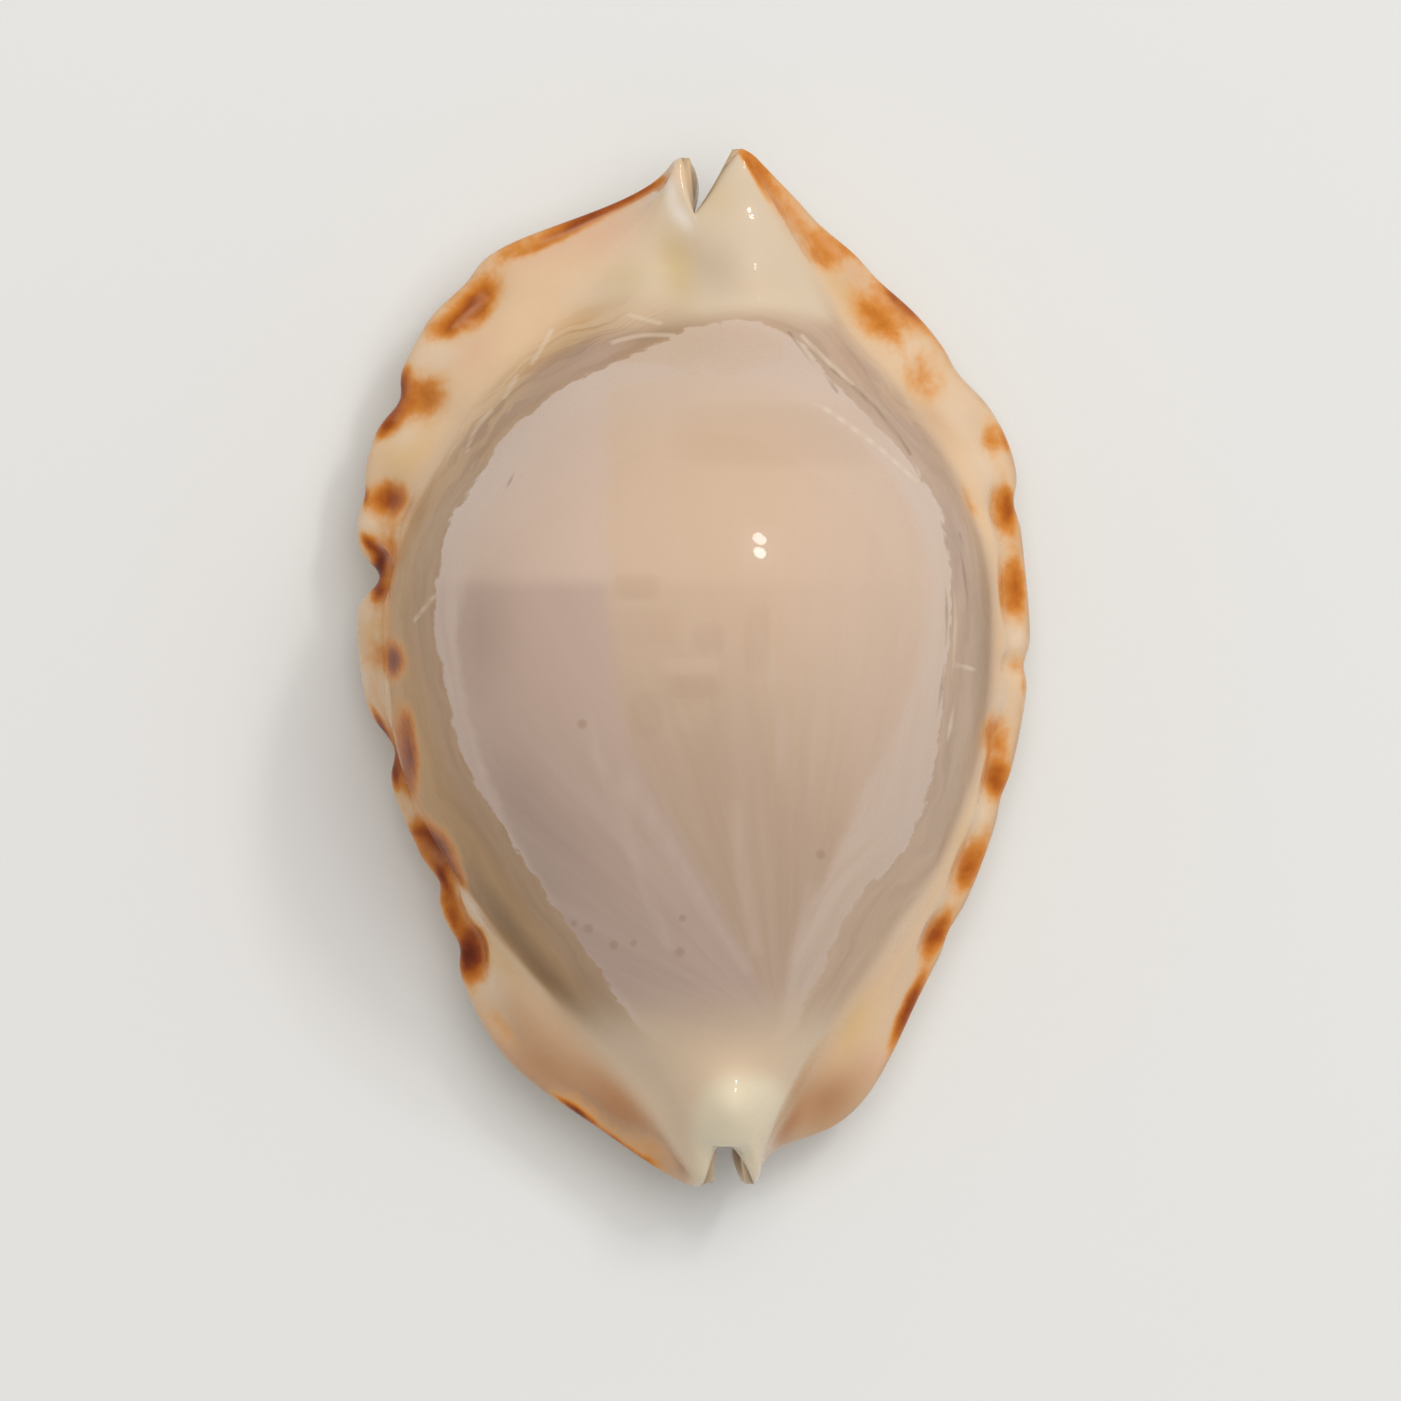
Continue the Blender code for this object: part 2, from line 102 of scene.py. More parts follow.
# %% [markdown]
# A rail has only fifteen points, so it needs a curve through them. A natural cubic spline
# is the curve that a thin wooden batten takes when it is held at those points, which is
# how ship builders drew long fair lines. It is read at stations: 0 at the front canal, 1
# at the spire end, and the same station on all the rails belongs to one section.

# %% A batten through points
def natural_spline(knots_at, knots, at):
    """Natural cubic spline through the knots, read at the stations."""
    steps = np.diff(knots_at)
    slopes = np.diff(knots, axis=0) / steps[:, None]
    count = len(knots)
    system = np.eye(count)
    load = np.zeros_like(knots)
    for i in range(1, count - 1):
        system[i, i - 1:i + 2] = (steps[i - 1], 2 * (steps[i - 1] + steps[i]), steps[i])
        load[i] = 6 * (slopes[i] - slopes[i - 1])
    bend = np.linalg.solve(system, load)
    k = np.clip(np.searchsorted(knots_at, at, side="right") - 1, 0, count - 2)
    h = steps[k][:, None]
    b = (at - knots_at[k])[:, None] / h
    a = 1 - b
    curve = (a ** 3 - a) * bend[k] + (b ** 3 - b) * bend[k + 1]
    return a * knots[k] + b * knots[k + 1] + curve * h ** 2 / 6


def travelled(points):
    """How far along the straight steps between the points each of them lies."""
    steps = np.linalg.norm(np.diff(points, axis=0), axis=1)
    return np.concatenate([[0.0], np.cumsum(steps)])


def shared_stations(rails):
    """Where the sections lie: their mean share of the way along all the rails."""
    steps = np.linalg.norm(np.diff(rails, axis=1), axis=2)
    shares = np.cumsum(steps, axis=1) / steps.sum(axis=1, keepdims=True)
    return np.concatenate([[0.0], shares.mean(axis=0)])


def read_rails(stations):
    """Every rail at the stations, by name."""
    knots_at = shared_stations(np.array(list(RAILS.values())))
    return {name: natural_spline(knots_at, np.array(points), stations)
            for name, points in RAILS.items()}


halfway = read_rails(np.array([0.5]))
print("crest halfway along:", np.round(halfway["crest"][0], 2), "mm")

# %% [markdown]
# ## The curve across the shell
#
# Between the rails the section has its own habits. The wall is thin in the dome and thick
# in the base, the flange ends in a rolled edge with a few dents where the animal laid less
# glaze, a groove runs round the dome's foot, and the base sags a little on both sides of
# the slit. Each habit is a named number here. The section is drawn as a closed cubic
# B-spline over 53 control points, because such a curve never kinks and its points can be
# moved one at a time.

# %% Habits of the section (millimetres, unless a share)
DOME_WALL, CANAL_WALL = 1.7, 1.0
CANAL_FADE = 1.8                            # how fast the canals' sections become the body's
BASE_WALL = 2.6
EDGE_THICK = 1.5                            # half thickness of the flange at its edge
DOME_POWER = 2.15                           # 2 is an ellipse, more is boxier
BLUNT_POWER, BLUNT_AT, BLUNT_REACH = 0.45, 0.80, 0.09       # boxier near the spire end
FRONT_ARCH, SPIRE_NOTCH = 7.0, 1.15         # how square the two canals' openings are
LIP_HEIGHTS = (0.33, 0.65)                  # the lip's edge and inside, in base walls
LIP_ROUND = (0.2, 0.4)                      # roundness of its corner: at the canals, and inland
LIP_BACK = 0.3
CANAL_LIP = 0.4                             # lips at the canals, as a share of those inland
TOOTH_ROOT = 0.45                           # where a tooth dies out, towards the base's crown
BASE_AT, BASE_SAG, CANAL_BASE = 0.42, 0.45, 0.2
SKIRT = (0.6, 0.22)                         # the base's outer slope: shares out and up
EDGE_TURN, EDGE_TOP = 1.1, 0.85             # the roll of the flange's edge
TERRACE = (0.6, 0.25)                       # the flange's top: shares in and up
TERRACE_FAIR = 0.65                         # the second, where no groove runs inside it
GROOVE, FAIR = (0.25, 1.4), (0.45, 0.4)     # out and down, and shares where there is no groove
DOME_EASE = 0.9                             # how much less steep the dome's foot is, at the spire
FOOT_EASE, EASE_ROUNDS = 0.8, 3             # rounding of the dome's foot where there is no groove
CAVITY_SHOULDER, CAVITY_TURN, CAVITY_CORNER, CAVITY_FLOOR = 0.8, 0.6, 0.62, 0.75
LIP_SHADE = 0.7                             # how far the cavity's floor stops short of the lip

# Dents of the edge: place along y, depth, half width.
DENTS_LEFT = [(21.4, 0.6, 1.2), (14.9, 0.65, 1.1), (9.7, 0.25, 0.9), (5.1, 1.3, 1.1),
              (-4.4, 0.95, 1.4), (-11.9, 0.45, 0.9), (-15.4, 0.45, 1.0)]
DENTS_RIGHT = [(24.6, 0.25, 1.2), (21.6, 0.3, 1.2), (16.4, 0.4, 1.2), (9.2, 0.35, 1.0),
               (0.2, 0.3, 0.8), (-7.2, 0.15, 0.9), (-14.6, 0.2, 0.9)]
# Strength of the groove round the dome's foot, by place along y.
GROOVE_LEFT = [(-25.0, 0.0), (-19.0, 0.35), (-12.0, 0.9), (-4.0, 1.0), (5.0, 0.95),
               (11.0, 0.45), (17.0, 0.05), (24.0, 0.0)]
GROOVE_RIGHT = [(-28.0, 0.6), (-24.0, 0.75), (-18.5, 0.3), (-11.0, 0.6), (-3.0, 0.9),
                (6.0, 0.9), (13.0, 0.6), (18.0, 0.35), (25.0, 0.2)]
# Soft bumps on top, over the hidden spire and the front canal: x, y, rise, radius.
BUMPS = [(3.2, 22.3, 1.0, 2.0), (-0.6, 22.2, -0.9, 1.9), (2.3, -24.3, 1.5, 1.9)]

# %% Small moves that a section is made of
def moved(points, outwards, upwards, side):
    """The points shifted away from the middle of the shell and up."""
    shift = np.zeros_like(points)
    shift[:, 0] = side * outwards
    shift[:, 2] = upwards
    return points + shift


def between(first, second, share, rise_share):
    """Points part of the way from one rail to another, with their own share in height."""
    points = first + (second - first) * share
    points[:, 2] = first[:, 2] + (second[:, 2] - first[:, 2]) * rise_share
    return points


def mixed(low, high, amount):
    """A value between two others, low where the amount is 0 and high where it is 1."""
    return low + (high - low) * amount


def groove_strength(foot, places):
    """How strong the groove is at each point of the dome's foot."""
    knots = np.array(places)
    y = np.clip(foot[:, 1], knots[0, 0], knots[-1, 0])
    return np.clip(natural_spline(knots[:, 0], knots[:, 1:], y)[:, 0], 0.0, 1.0)


def eased(points, first, last, amount):
    """The control points from the first to the last drawn towards their neighbours."""
    for _ in range(EASE_ROUNDS):
        calmer = [points[k] + amount * ((points[k - 1] + points[k + 1]) / 2 - points[k])
                  for k in range(first, last + 1)]
        points = points[:first] + calmer + points[last + 1:]
    return points


def dented(margin, dents, side):
    """The flange's edge pulled inwards at each dent."""
    pull = sum(depth * np.exp(-((margin[:, 1] - place) / half_width) ** 2)
               for place, depth, half_width in dents)
    return moved(margin, -pull, 0.0, side)


DOME_ANGLES = np.radians([12.0, 28.0, 45.0, 62.0, 77.0])
EDGE_PLACE, FOOT_PLACE, CREST_PLACE = 7, 11, 17     # numbers of control points


def dome_points(foot, crest, power, squareness):
    """Quarter of a superellipse from the dome's foot up to just under its crest."""
    points = []
    for angle in DOME_ANGLES:
        out = np.cos(angle) ** (2 / power)
        up = np.sin(angle) ** (2 / power)
        point = crest + out[:, None] * (foot - crest)
        point[:, 1] = crest[:, 1] + out ** squareness * (foot[:, 1] - crest[:, 1])
        point[:, 2] = foot[:, 2] + up * (crest[:, 2] - foot[:, 2])
        points.append(point)
    return points


# %% Control points of one half, outside and inside
def outer_half(lip, base, margin, foot, dome, body, groove, side):
    """Control points of the outside, from inside the lip to just under the crest."""
    thick = EDGE_THICK * (0.25 + 0.75 * body)
    tall = BASE_WALL * (CANAL_LIP + (1 - CANAL_LIP) * body)
    terrace = between(moved(margin, 0.0, thick, side), foot, TERRACE[0],
                      mixed(TERRACE_FAIR, TERRACE[1], groove))
    sunk = moved(foot, GROOVE[0] * body, -GROOVE[1], side)
    points = [
        moved(lip, LIP_BACK * body, LIP_HEIGHTS[1] * tall, side),
        moved(lip, 0.0, LIP_HEIGHTS[0] * tall, side),
        moved(lip, LIP_ROUND[0] + LIP_ROUND[1] * body, 0.0, side),
        between(lip, base, TOOTH_ROOT, 0.85),
        base,
        between(base, margin, *SKIRT),
        moved(margin, -EDGE_TURN * body, -thick, side),
        margin,
        moved(margin, -EDGE_TURN * body, EDGE_TOP * thick, side),
        terrace,
        mixed(between(foot, terrace, *FAIR), sunk, groove[:, None]),
        foot,
    ] + dome
    amount = FOOT_EASE * (1 - groove)
    return eased(points, FOOT_PLACE - 1, FOOT_PLACE + 2, amount[:, None])


def inner_half(lip, base, foot, inside, dome, wall, body, side):
    """Control points of the cavity, from just under its top down to behind the lip."""
    floor = CANAL_WALL + (BASE_WALL - CANAL_WALL) * body
    corner = moved(foot, -wall * (1 + CAVITY_TURN * body), 0.0, side)
    corner[:, 2] = base[:, 2] + CAVITY_CORNER * (foot[:, 2] - base[:, 2])
    rise = np.outer(floor + CANAL_WALL * (1 - body), [0.0, 0.0, 1.0])
    return dome[::-1] + [
        inside,
        corner,
        lip + (base - lip) * CAVITY_FLOOR * body[:, None] + rise,
        moved(lip, LIP_SHADE * body, floor + 0.25 * body, side),
    ]


# %% The whole closed section
def sections(stations):
    """Closed control polygons across the shell, one for each station."""
    rails = read_rails(stations)
    body = np.clip(CANAL_FADE * np.sin(np.pi * stations), 0.0, 1.0)
    wall = CANAL_WALL + (DOME_WALL - CANAL_WALL) * body
    power = DOME_POWER + BLUNT_POWER * np.exp(-((stations - BLUNT_AT) / BLUNT_REACH) ** 2)
    squareness = SPIRE_NOTCH + (FRONT_ARCH - SPIRE_NOTCH) * (1 - stations) ** 2
    crest = rails["crest"]
    ceiling = moved(crest, 0.0, -wall, 1)
    halves = {}
    for name, dents, places, side in (("left", DENTS_LEFT, GROOVE_LEFT, -1),
                                      ("right", DENTS_RIGHT, GROOVE_RIGHT, 1)):
        lip, foot = rails["lip " + name], rails["foot " + name]
        groove = groove_strength(foot, places)
        fair = power - DOME_EASE * (1 - groove) * stations
        margin = dented(rails["margin " + name], dents, side)
        base = between(lip, margin, BASE_AT, CANAL_BASE * (1 - body))
        base[:, 2] -= BASE_SAG * body
        dome = dome_points(foot, crest, fair, squareness)
        inside = moved(foot, -wall, -CAVITY_SHOULDER * wall, side)
        inner_dome = dome_points(inside, ceiling, fair, squareness)
        halves[name] = (outer_half(lip, base, margin, foot, dome, body, groove, side),
                        inner_half(lip, base, foot, inside, inner_dome, wall, body, side))
    outside = halves["left"][0] + [crest] + halves["right"][0][::-1]
    cavity = halves["right"][1][::-1] + [ceiling] + halves["left"][1]
    return np.stack(outside + cavity, axis=1)


def read_curve(polygons, at):
    """Closed cubic B-spline of each control polygon, read at places round it."""
    first = np.floor(at).astype(int)
    t = (at - first)[None, :, None]
    count = polygons.shape[1]
    before, start, end, after = (polygons[:, (first + k) % count] for k in (-1, 0, 1, 2))
    return ((1 - t) ** 3 * before + (3 * t ** 3 - 6 * t ** 2 + 4) * start
            + (-3 * t ** 3 + 3 * t ** 2 + 3 * t + 1) * end + t ** 3 * after) / 6


def through(polygons):
    """Control polygons pushed out, so that the curve comes close to the given points."""
    reached = read_curve(polygons, np.arange(polygons.shape[1], dtype=float))
    return polygons + (polygons - reached)


middle_section = read_curve(through(sections(np.array([0.5]))), np.arange(53.0))
print("section halfway along:", np.round(np.ptp(middle_section[0], axis=0), 1), "mm")

# %% [markdown]
# ## The mesh
#
# The surface is a grid: a row for each station and a column for each place round the
# section. Columns are close together where the shape turns fast, at the lip and at the
# flange's edge, and wide apart over the dome. At each end the outside has to turn into the
# cavity. There both walls are drawn together over the last rows, so that the rim of the
# canal ends in a round edge, and a strip of triangles closes it.

# %% Places round the section
OUTER_END = 2 * CREST_PLACE
# Where each control point of the outer half lies against the inner half, from the lip up.
FACING = np.array([0.0, 0.2, 0.5, 0.8, 1.1, 1.5, 1.8, 2.0, 2.2, 2.5, 2.8, 3.0, 4.0, 5.0,
                   6.0, 7.0, 8.0, 9.0])
INNER_START = OUTER_END + 1
INNER_END = INNER_START + 2 * int(FACING[-1])
# Stretches of the outer half: from place, to place, columns in each.
STRETCHES = [(0, 3, 24), (3, 4, 4), (4, 6, 6), (6, 8, 14), (8, 11, 21), (11, 17, 29)]
CAVITY_COLUMNS = 38
ROWS = 405
RIM_SHARE = 0.012                           # share of the length over which a rim rounds off
RIM_STEPS = np.array([0.3, 0.55, 0.75, 0.9])        # how far its rows are into the round


def outer_places():
    """Places round the outside of the section, from the left lip to the right one."""
    half = np.concatenate([np.linspace(start, end, count, endpoint=False)
                           for start, end, count in STRETCHES])
    return np.concatenate([half, [CREST_PLACE], OUTER_END - half[::-1]])


places = outer_places()
cavity_places = np.linspace(INNER_START, INNER_END, CAVITY_COLUMNS)
print(len(places), "columns outside,", len(cavity_places), "in the cavity")

# %% Points of the skin
def bumped(points):
    """The soft bumps of the spire end and of the front canal's back, raised."""
    raised = points.copy()
    for x, y, rise, radius in BUMPS:
        gap = np.hypot(points[..., 0] - x, points[..., 1] - y) / radius
        raised[..., 2] += rise * np.exp(-gap ** 2)
    return raised


def drawn_together(curve, partner, rims):
    """Both walls narrowed to a round edge towards a canal's rim."""
    middle = (curve + partner) / 2
    return middle + (curve - middle) * np.sqrt(1 - rims ** 2)[:, None, None]


turned = RIM_SHARE * (1 - RIM_STEPS)
inland = np.linspace(RIM_SHARE, 1 - RIM_SHARE, ROWS)
stations = np.concatenate([turned[::-1], inland, 1 - turned])
rims = np.concatenate([RIM_STEPS[::-1], np.zeros(ROWS), RIM_STEPS])
curves = through(sections(stations))
every = np.arange(OUTER_END + 1)
facing = np.concatenate([INNER_END - FACING, INNER_START + FACING[-2::-1]])
opposite = (np.interp(places, every, facing),
            np.interp(cavity_places, facing[::-1], every[::-1]))
outside, cavity = (drawn_together(read_curve(curves, here), read_curve(curves, there), rims)
                   for here, there in zip((places, cavity_places), opposite))
upper = (places > EDGE_PLACE) & (places < OUTER_END - EDGE_PLACE)
outside[:, upper] = bumped(outside[:, upper])
skin = np.concatenate([outside, cavity], axis=1)
skin[..., :2] -= (skin.min(axis=(0, 1)) + skin.max(axis=(0, 1)))[:2] / 2
print("skin of", skin.shape[0], "rows and", skin.shape[1], "columns,",
      np.round(np.ptp(skin.reshape(-1, 3), axis=0), 2), "mm")

# %% Faces of the skin
def rim_faces(row, outer_count, columns):
    """Triangles that close a canal's rim, between the outside and the cavity's wall."""
    start = row * columns
    outer_last = outer_count - 1
    inner_steps = columns - 1 - outer_count
    faces = []
    outer, inner = 0, 0
    while outer < outer_last or inner < inner_steps:
        near = start + outer
        far = start + columns - 1 - inner
        ahead = outer * inner_steps >= (inner + 0.5) * outer_last
        if outer < outer_last and (inner == inner_steps or not ahead):
            faces.append((near, near + 1, far))
            outer += 1
        else:
            faces.append((near, far - 1, far))
            inner += 1
    return faces


def skin_mesh(points, outer_count):
    """The closed skin as a mesh in metres, with its faces turned outwards."""
    rows, columns = points.shape[:2]
    faces = []
    for corner in range((rows - 1) * columns):
        row, column = divmod(corner, columns)
        beside = row * columns + (column + 1) % columns
        faces.append((corner, beside, beside + columns, corner + columns))
    for row in (0, rows - 1):
        faces += rim_faces(row, outer_count, columns)
    mesh = bpy.data.meshes.new("porcelain_shell")
    mesh.from_pydata((points.reshape(-1, 3) * MM).tolist(), [], faces)
    work = bmesh.new()
    work.from_mesh(mesh)
    bmesh.ops.recalc_face_normals(work, faces=work.faces)
    work.to_mesh(mesh)
    work.free()
    mesh.shade_smooth()
    return mesh


shell = bpy.data.objects.new("porcelain_shell", skin_mesh(skin, len(places)))
bpy.context.scene.collection.objects.link(shell)
print(len(shell.data.vertices), "points,", len(shell.data.polygons), "faces")

# %% [markdown]
# ## Numbers that the finish reads
#
# The glaze changes from the dome to the flange, and its marks lie at their own places. A
# painted picture would do, but it would blur close up and would have to be unwrapped. Here
# the mesh carries a few plain numbers at each point, and the material works out its
# colours from them: how far the point is from a named line, and how much of a soft mark
# lies on it. A distance stays sharp however coarse the mesh is, because it changes evenly
# between points, and the material can draw a crisp line wherever it passes through zero.

# %% Tools for lines and marks
def closed_line(points, count=360):
    """A smooth closed curve through the points, as many short steps."""
    loop = np.array(points[-3:] + points + points[:4], dtype=float)
    at = travelled(loop)
    start, end = at[3], at[3 + len(points)]
    return natural_spline(at, loop, np.linspace(start, end, count, endpoint=False))


def open_line(points, count=60):
    """A smooth open curve through the points, as many short steps."""
    knots = np.array(points, dtype=float)
    at = travelled(knots)
    return natural_spline(at, knots, np.linspace(0.0, at[-1], count))


def distance_to(line, x, y):
    """Distance in plan from each point to a line given as short steps."""
    nearest = np.full(x.shape, np.inf)
    for start, end in zip(line[:-1], line[1:]):
        step = end - start
        share = ((x - start[0]) * step[0] + (y - start[1]) * step[1]) / (step @ step)
        share = np.clip(share, 0.0, 1.0)
        gap = np.hypot(x - start[0] - share * step[0], y - start[1] - share * step[1])
        nearest = np.minimum(nearest, gap)
    return nearest


def inside_distance(line, x, y):
    """Distance to a closed line, positive inside it and negative outside."""
    within = np.zeros(x.shape, dtype=bool)
    ring = np.vstack([line, line[:1]])
    for (x0, y0), (x1, y1) in zip(ring[:-1], ring[1:]):
        if y0 != y1:
            crossing = x0 + (y - y0) / (y1 - y0) * (x1 - x0)
            within ^= ((y0 > y) != (y1 > y)) & (x < crossing)
    return np.where(within, 1, -1) * distance_to(ring, x, y)


def soft_marks(marks, x, y):
    """How much of the soft oval marks lies on each point, from 0 to 1."""
    clear = np.ones(x.shape)
    for centre_x, centre_y, half_length, half_width, turn, strength in marks:
        c, s = np.cos(np.radians(turn)), np.sin(np.radians(turn))
        along = ((x - centre_x) * c + (y - centre_y) * s) / half_length
        across = ((y - centre_y) * c - (x - centre_x) * s) / half_width
        clear *= 1 - strength * np.exp(-along ** 2 - across ** 2)
    return 1 - clear


def fade(value, start, end):
    """0 at the start, 1 at the end, and smooth between them."""
    share = np.clip((value - start) / (end - start), 0.0, 1.0)
    return share * share * (3 - 2 * share)


# %% [markdown]
# Four lines divide the dome. The glaze line is the ragged edge of the last, pale coat that
# the animal's mantle laid over the back: inside it the dome is lilac, paler partly as a
# painted reflection of a broad overhead light; outside it an older grey-tan coat shows,
# darker partly as painted shade. A paler band follows that edge on the inside, down to the
# band line.
# The wedge is the warm, tan stretch along the ridge that narrows to the front. All are
# laid out on the plan of the shell.

# %% Lines on the dome (x, y in millimetres)
GLAZE_LINE = [
    (0.4, 18.95), (-2.6, 17.6), (-5.1, 16.5), (-7.3, 15.4), (-9.3, 13.9), (-11.0, 12.0),
    (-12.2, 9.9), (-13.4, 8.3), (-14.0, 5.8), (-14.25, 3.0), (-13.85, 0.0), (-13.2, -3.0),
    (-12.2, -6.0), (-10.7, -8.4), (-9.2, -10.7), (-7.8, -12.9), (-6.3, -15.1), (-4.6, -17.7),
    (-2.2, -20.6), (1.2, -21.9), (4.4, -21.4), (6.2, -18.6), (7.7, -15.4), (9.2, -12.6),
    (11.4, -10.5), (12.5, -8.4), (13.4, -4.6), (13.9, -1.0), (14.25, 3.0), (14.1, 6.5),
    (13.2, 9.6), (11.2, 12.2), (9.0, 14.4), (7.2, 16.6), (4.6, 18.8)]
BAND_LINE = [
    (-2.0, 16.0), (-6.6, 13.9), (-9.4, 11.2), (-11.2, 8.6), (-12.4, 5.0), (-12.9, 2.0),
    (-12.7, -1.0), (-12.2, -3.2), (-11.3, -6.0), (-9.9, -9.0), (-8.4, -11.8), (-7.0, -14.2),
    (-5.2, -16.8), (-2.6, -19.6), (1.2, -21.2), (4.2, -20.6), (5.2, -17.6), (5.9, -14.6),
    (7.2, -11.6), (8.4, -9.0), (9.2, -7.0), (10.3, -5.0), (11.2, -3.0), (12.0, -1.0),
    (12.5, 4.0), (12.2, 7.6), (11.3, 9.8), (9.4, 12.0), (7.2, 13.8), (3.4, 15.6)]
WEDGE_LINE = [
    (-4.8, 19.0), (-4.75, 12.0), (-4.7, 4.0), (-4.3, 0.0), (-3.6, -4.0), (-2.5, -6.4),
    (-0.8, -9.2), (1.0, -12.4), (2.9, -16.0), (4.9, -20.2)]
RAY_CENTRE = (4.9, -20.3)                   # where the growth rays meet, behind the canal
# The two ends where the coats run together into cream: over the spire, and the front canal.
SPIRE_AREA = [
    (1.6, 29.4), (-0.6, 27.0), (-1.6, 29.0), (-3.4, 24.6), (-6.6, 20.4), (-3.2, 19.4),
    (0.8, 19.3), (5.0, 19.5), (7.6, 19.4), (6.6, 22.2), (4.8, 25.2), (3.4, 27.6)]
TUBE_AREA = [
    (0.5, -29.6), (0.1, -27.8), (0.0, -25.4), (0.3, -24.0), (1.3, -22.9), (3.0, -22.7),
    (4.6, -23.0), (5.1, -24.0), (4.4, -25.4), (3.8, -27.0), (3.9, -29.6)]
# Strokes, with the number of short steps that each is drawn in.
STROKES = {
    # Thin lines beside the glaze line: dark and pale lines of older growth, and one painted
    # highlight.
    "dark_gap": (16, [
        [(13.85, 8.0), (14.0, 5.0), (13.8, 1.2)], [(13.7, 0.2), (13.55, -2.4), (13.1, -5.0)],
        [(5.3, 18.6), (6.6, 16.9), (8.0, 15.2)], [(14.7, 7.4), (15.0, 5.0), (15.0, 2.0)],
        [(7.6, 16.6), (10.2, 14.2), (12.0, 11.8)], [(-9.0, 12.6), (-9.9, 11.0), (-10.3, 9.4)]]),
    "pale_gap": (16, [
        [(14.5, 4.2), (14.4, 0.0), (14.1, -4.0)], [(-15.4, 2.6), (-14.9, 3.2), (-14.2, 4.0)],
        [(6.0, 18.4), (7.4, 17.0), (8.8, 15.7)], [(6.8, 14.6), (9.6, 12.6), (12.3, 10.3)],
        # The first stroke on the next line, at x 15, is a painted highlight on a scratch.
        [(14.8, 0.1), (15.5, -0.1)], [(-12.6, 12.0), (-12.0, 13.4), (-11.2, 14.3)],
        [(-10.5, 15.0), (-9.8, 16.2)], [(-9.0, 16.9), (-8.3, 18.0), (-7.9, 18.8)],
        [(-3.6, 19.6), (-1.8, 19.1)], [(-4.6, 18.0), (-3.0, 18.4), (-1.0, 18.4)]]),
    # Broad pale streaks low on the dome.
    "streak_gap": (20, [
        [(-5.0, -5.1), (-2.7, -12.0), (-1.4, -15.3)],
        [(-3.7, -5.9), (-0.1, -12.0), (2.9, -16.6)],
        [(6.6, -12.0), (5.6, -16.0), (5.1, -19.0)],
        [(-8.6, -12.6), (-6.2, -16.2), (-3.4, -19.6)],
        [(2.3, -7.6), (2.7, -11.4), (3.5, -15.6)], [(-5.9, -2.6), (-5.2, -5.0), (-4.2, -7.0)],
        [(3.9, 1.6), (4.6, -2.0), (4.9, -6.0)]]),
    # Folds between the stains, where the flange bulges: their light pink line is partly a painted
    # highlight.
    "ridge_gap": (12, [
        [(-15.8, 16.4), (-16.1, 15.3), (-16.7, 14.0)],
        [(-13.3, 19.1), (-12.6, 19.9), (-11.9, 20.8)], [(-12.9, 19.4), (-12.1, 19.2)],
        [(-18.0, -1.0), (-17.2, -2.8), (-16.45, -4.6), (-16.2, -6.3)],
        [(-15.7, -9.4), (-14.9, -10.2), (-14.3, -11.0)],
        [(10.2, 21.0), (11.4, 20.1), (12.8, 18.9)], [(7.4, 24.0), (8.2, 23.2)],
        [(-17.2, 5.1), (-17.1, 6.0), (-17.6, 7.0)],
        [(-8.4, 23.9), (-6.6, 24.6), (-4.6, 25.5), (-2.4, 26.6)]]),
}

# %% Distances to the lines
columns = skin.shape[1]
x, y = skin[..., 0], skin[..., 1]
glaze_line, band_line = closed_line(GLAZE_LINE), closed_line(BAND_LINE)
wedge_line = open_line(WEDGE_LINE)
order = np.argsort(wedge_line[:, 1])
numbers = {
    "glaze_gap": inside_distance(glaze_line, x, y),
    "band_gap": inside_distance(band_line, x, y),
    "wedge_gap": x - np.interp(y, wedge_line[order, 1], wedge_line[order, 0]),
    "tube": fade(inside_distance(closed_line(TUBE_AREA), x, y), -0.8, 0.8),
}
# The spire's cream has a soft edge, and a softer one on the left.
blurred = fade(x, 1.0, -3.0)
numbers["spire"] = fade(inside_distance(closed_line(SPIRE_AREA), x, y),
                        -0.7 - 1.1 * blurred, 0.9 + 1.7 * blurred)
for name, (steps, strokes) in STROKES.items():
    gaps = [distance_to(open_line(stroke, steps), x, y) for stroke in strokes]
    numbers[name] = np.minimum.reduce(gaps)
print("widest part of the lilac coat lies", round(float(numbers["glaze_gap"].max()), 1),
      "mm inside its edge")

# %% [markdown]
# The flange carries the marks that a collector knows this shell by: soft brown spots in
# pits along the edge, with an orange halo, and cream, white and pink glaze between them. A
# mark is an oval with a centre, two half sizes, a turn and a strength. The halos also
# sink the pits, because the animal laid the colour where it laid the least glaze.

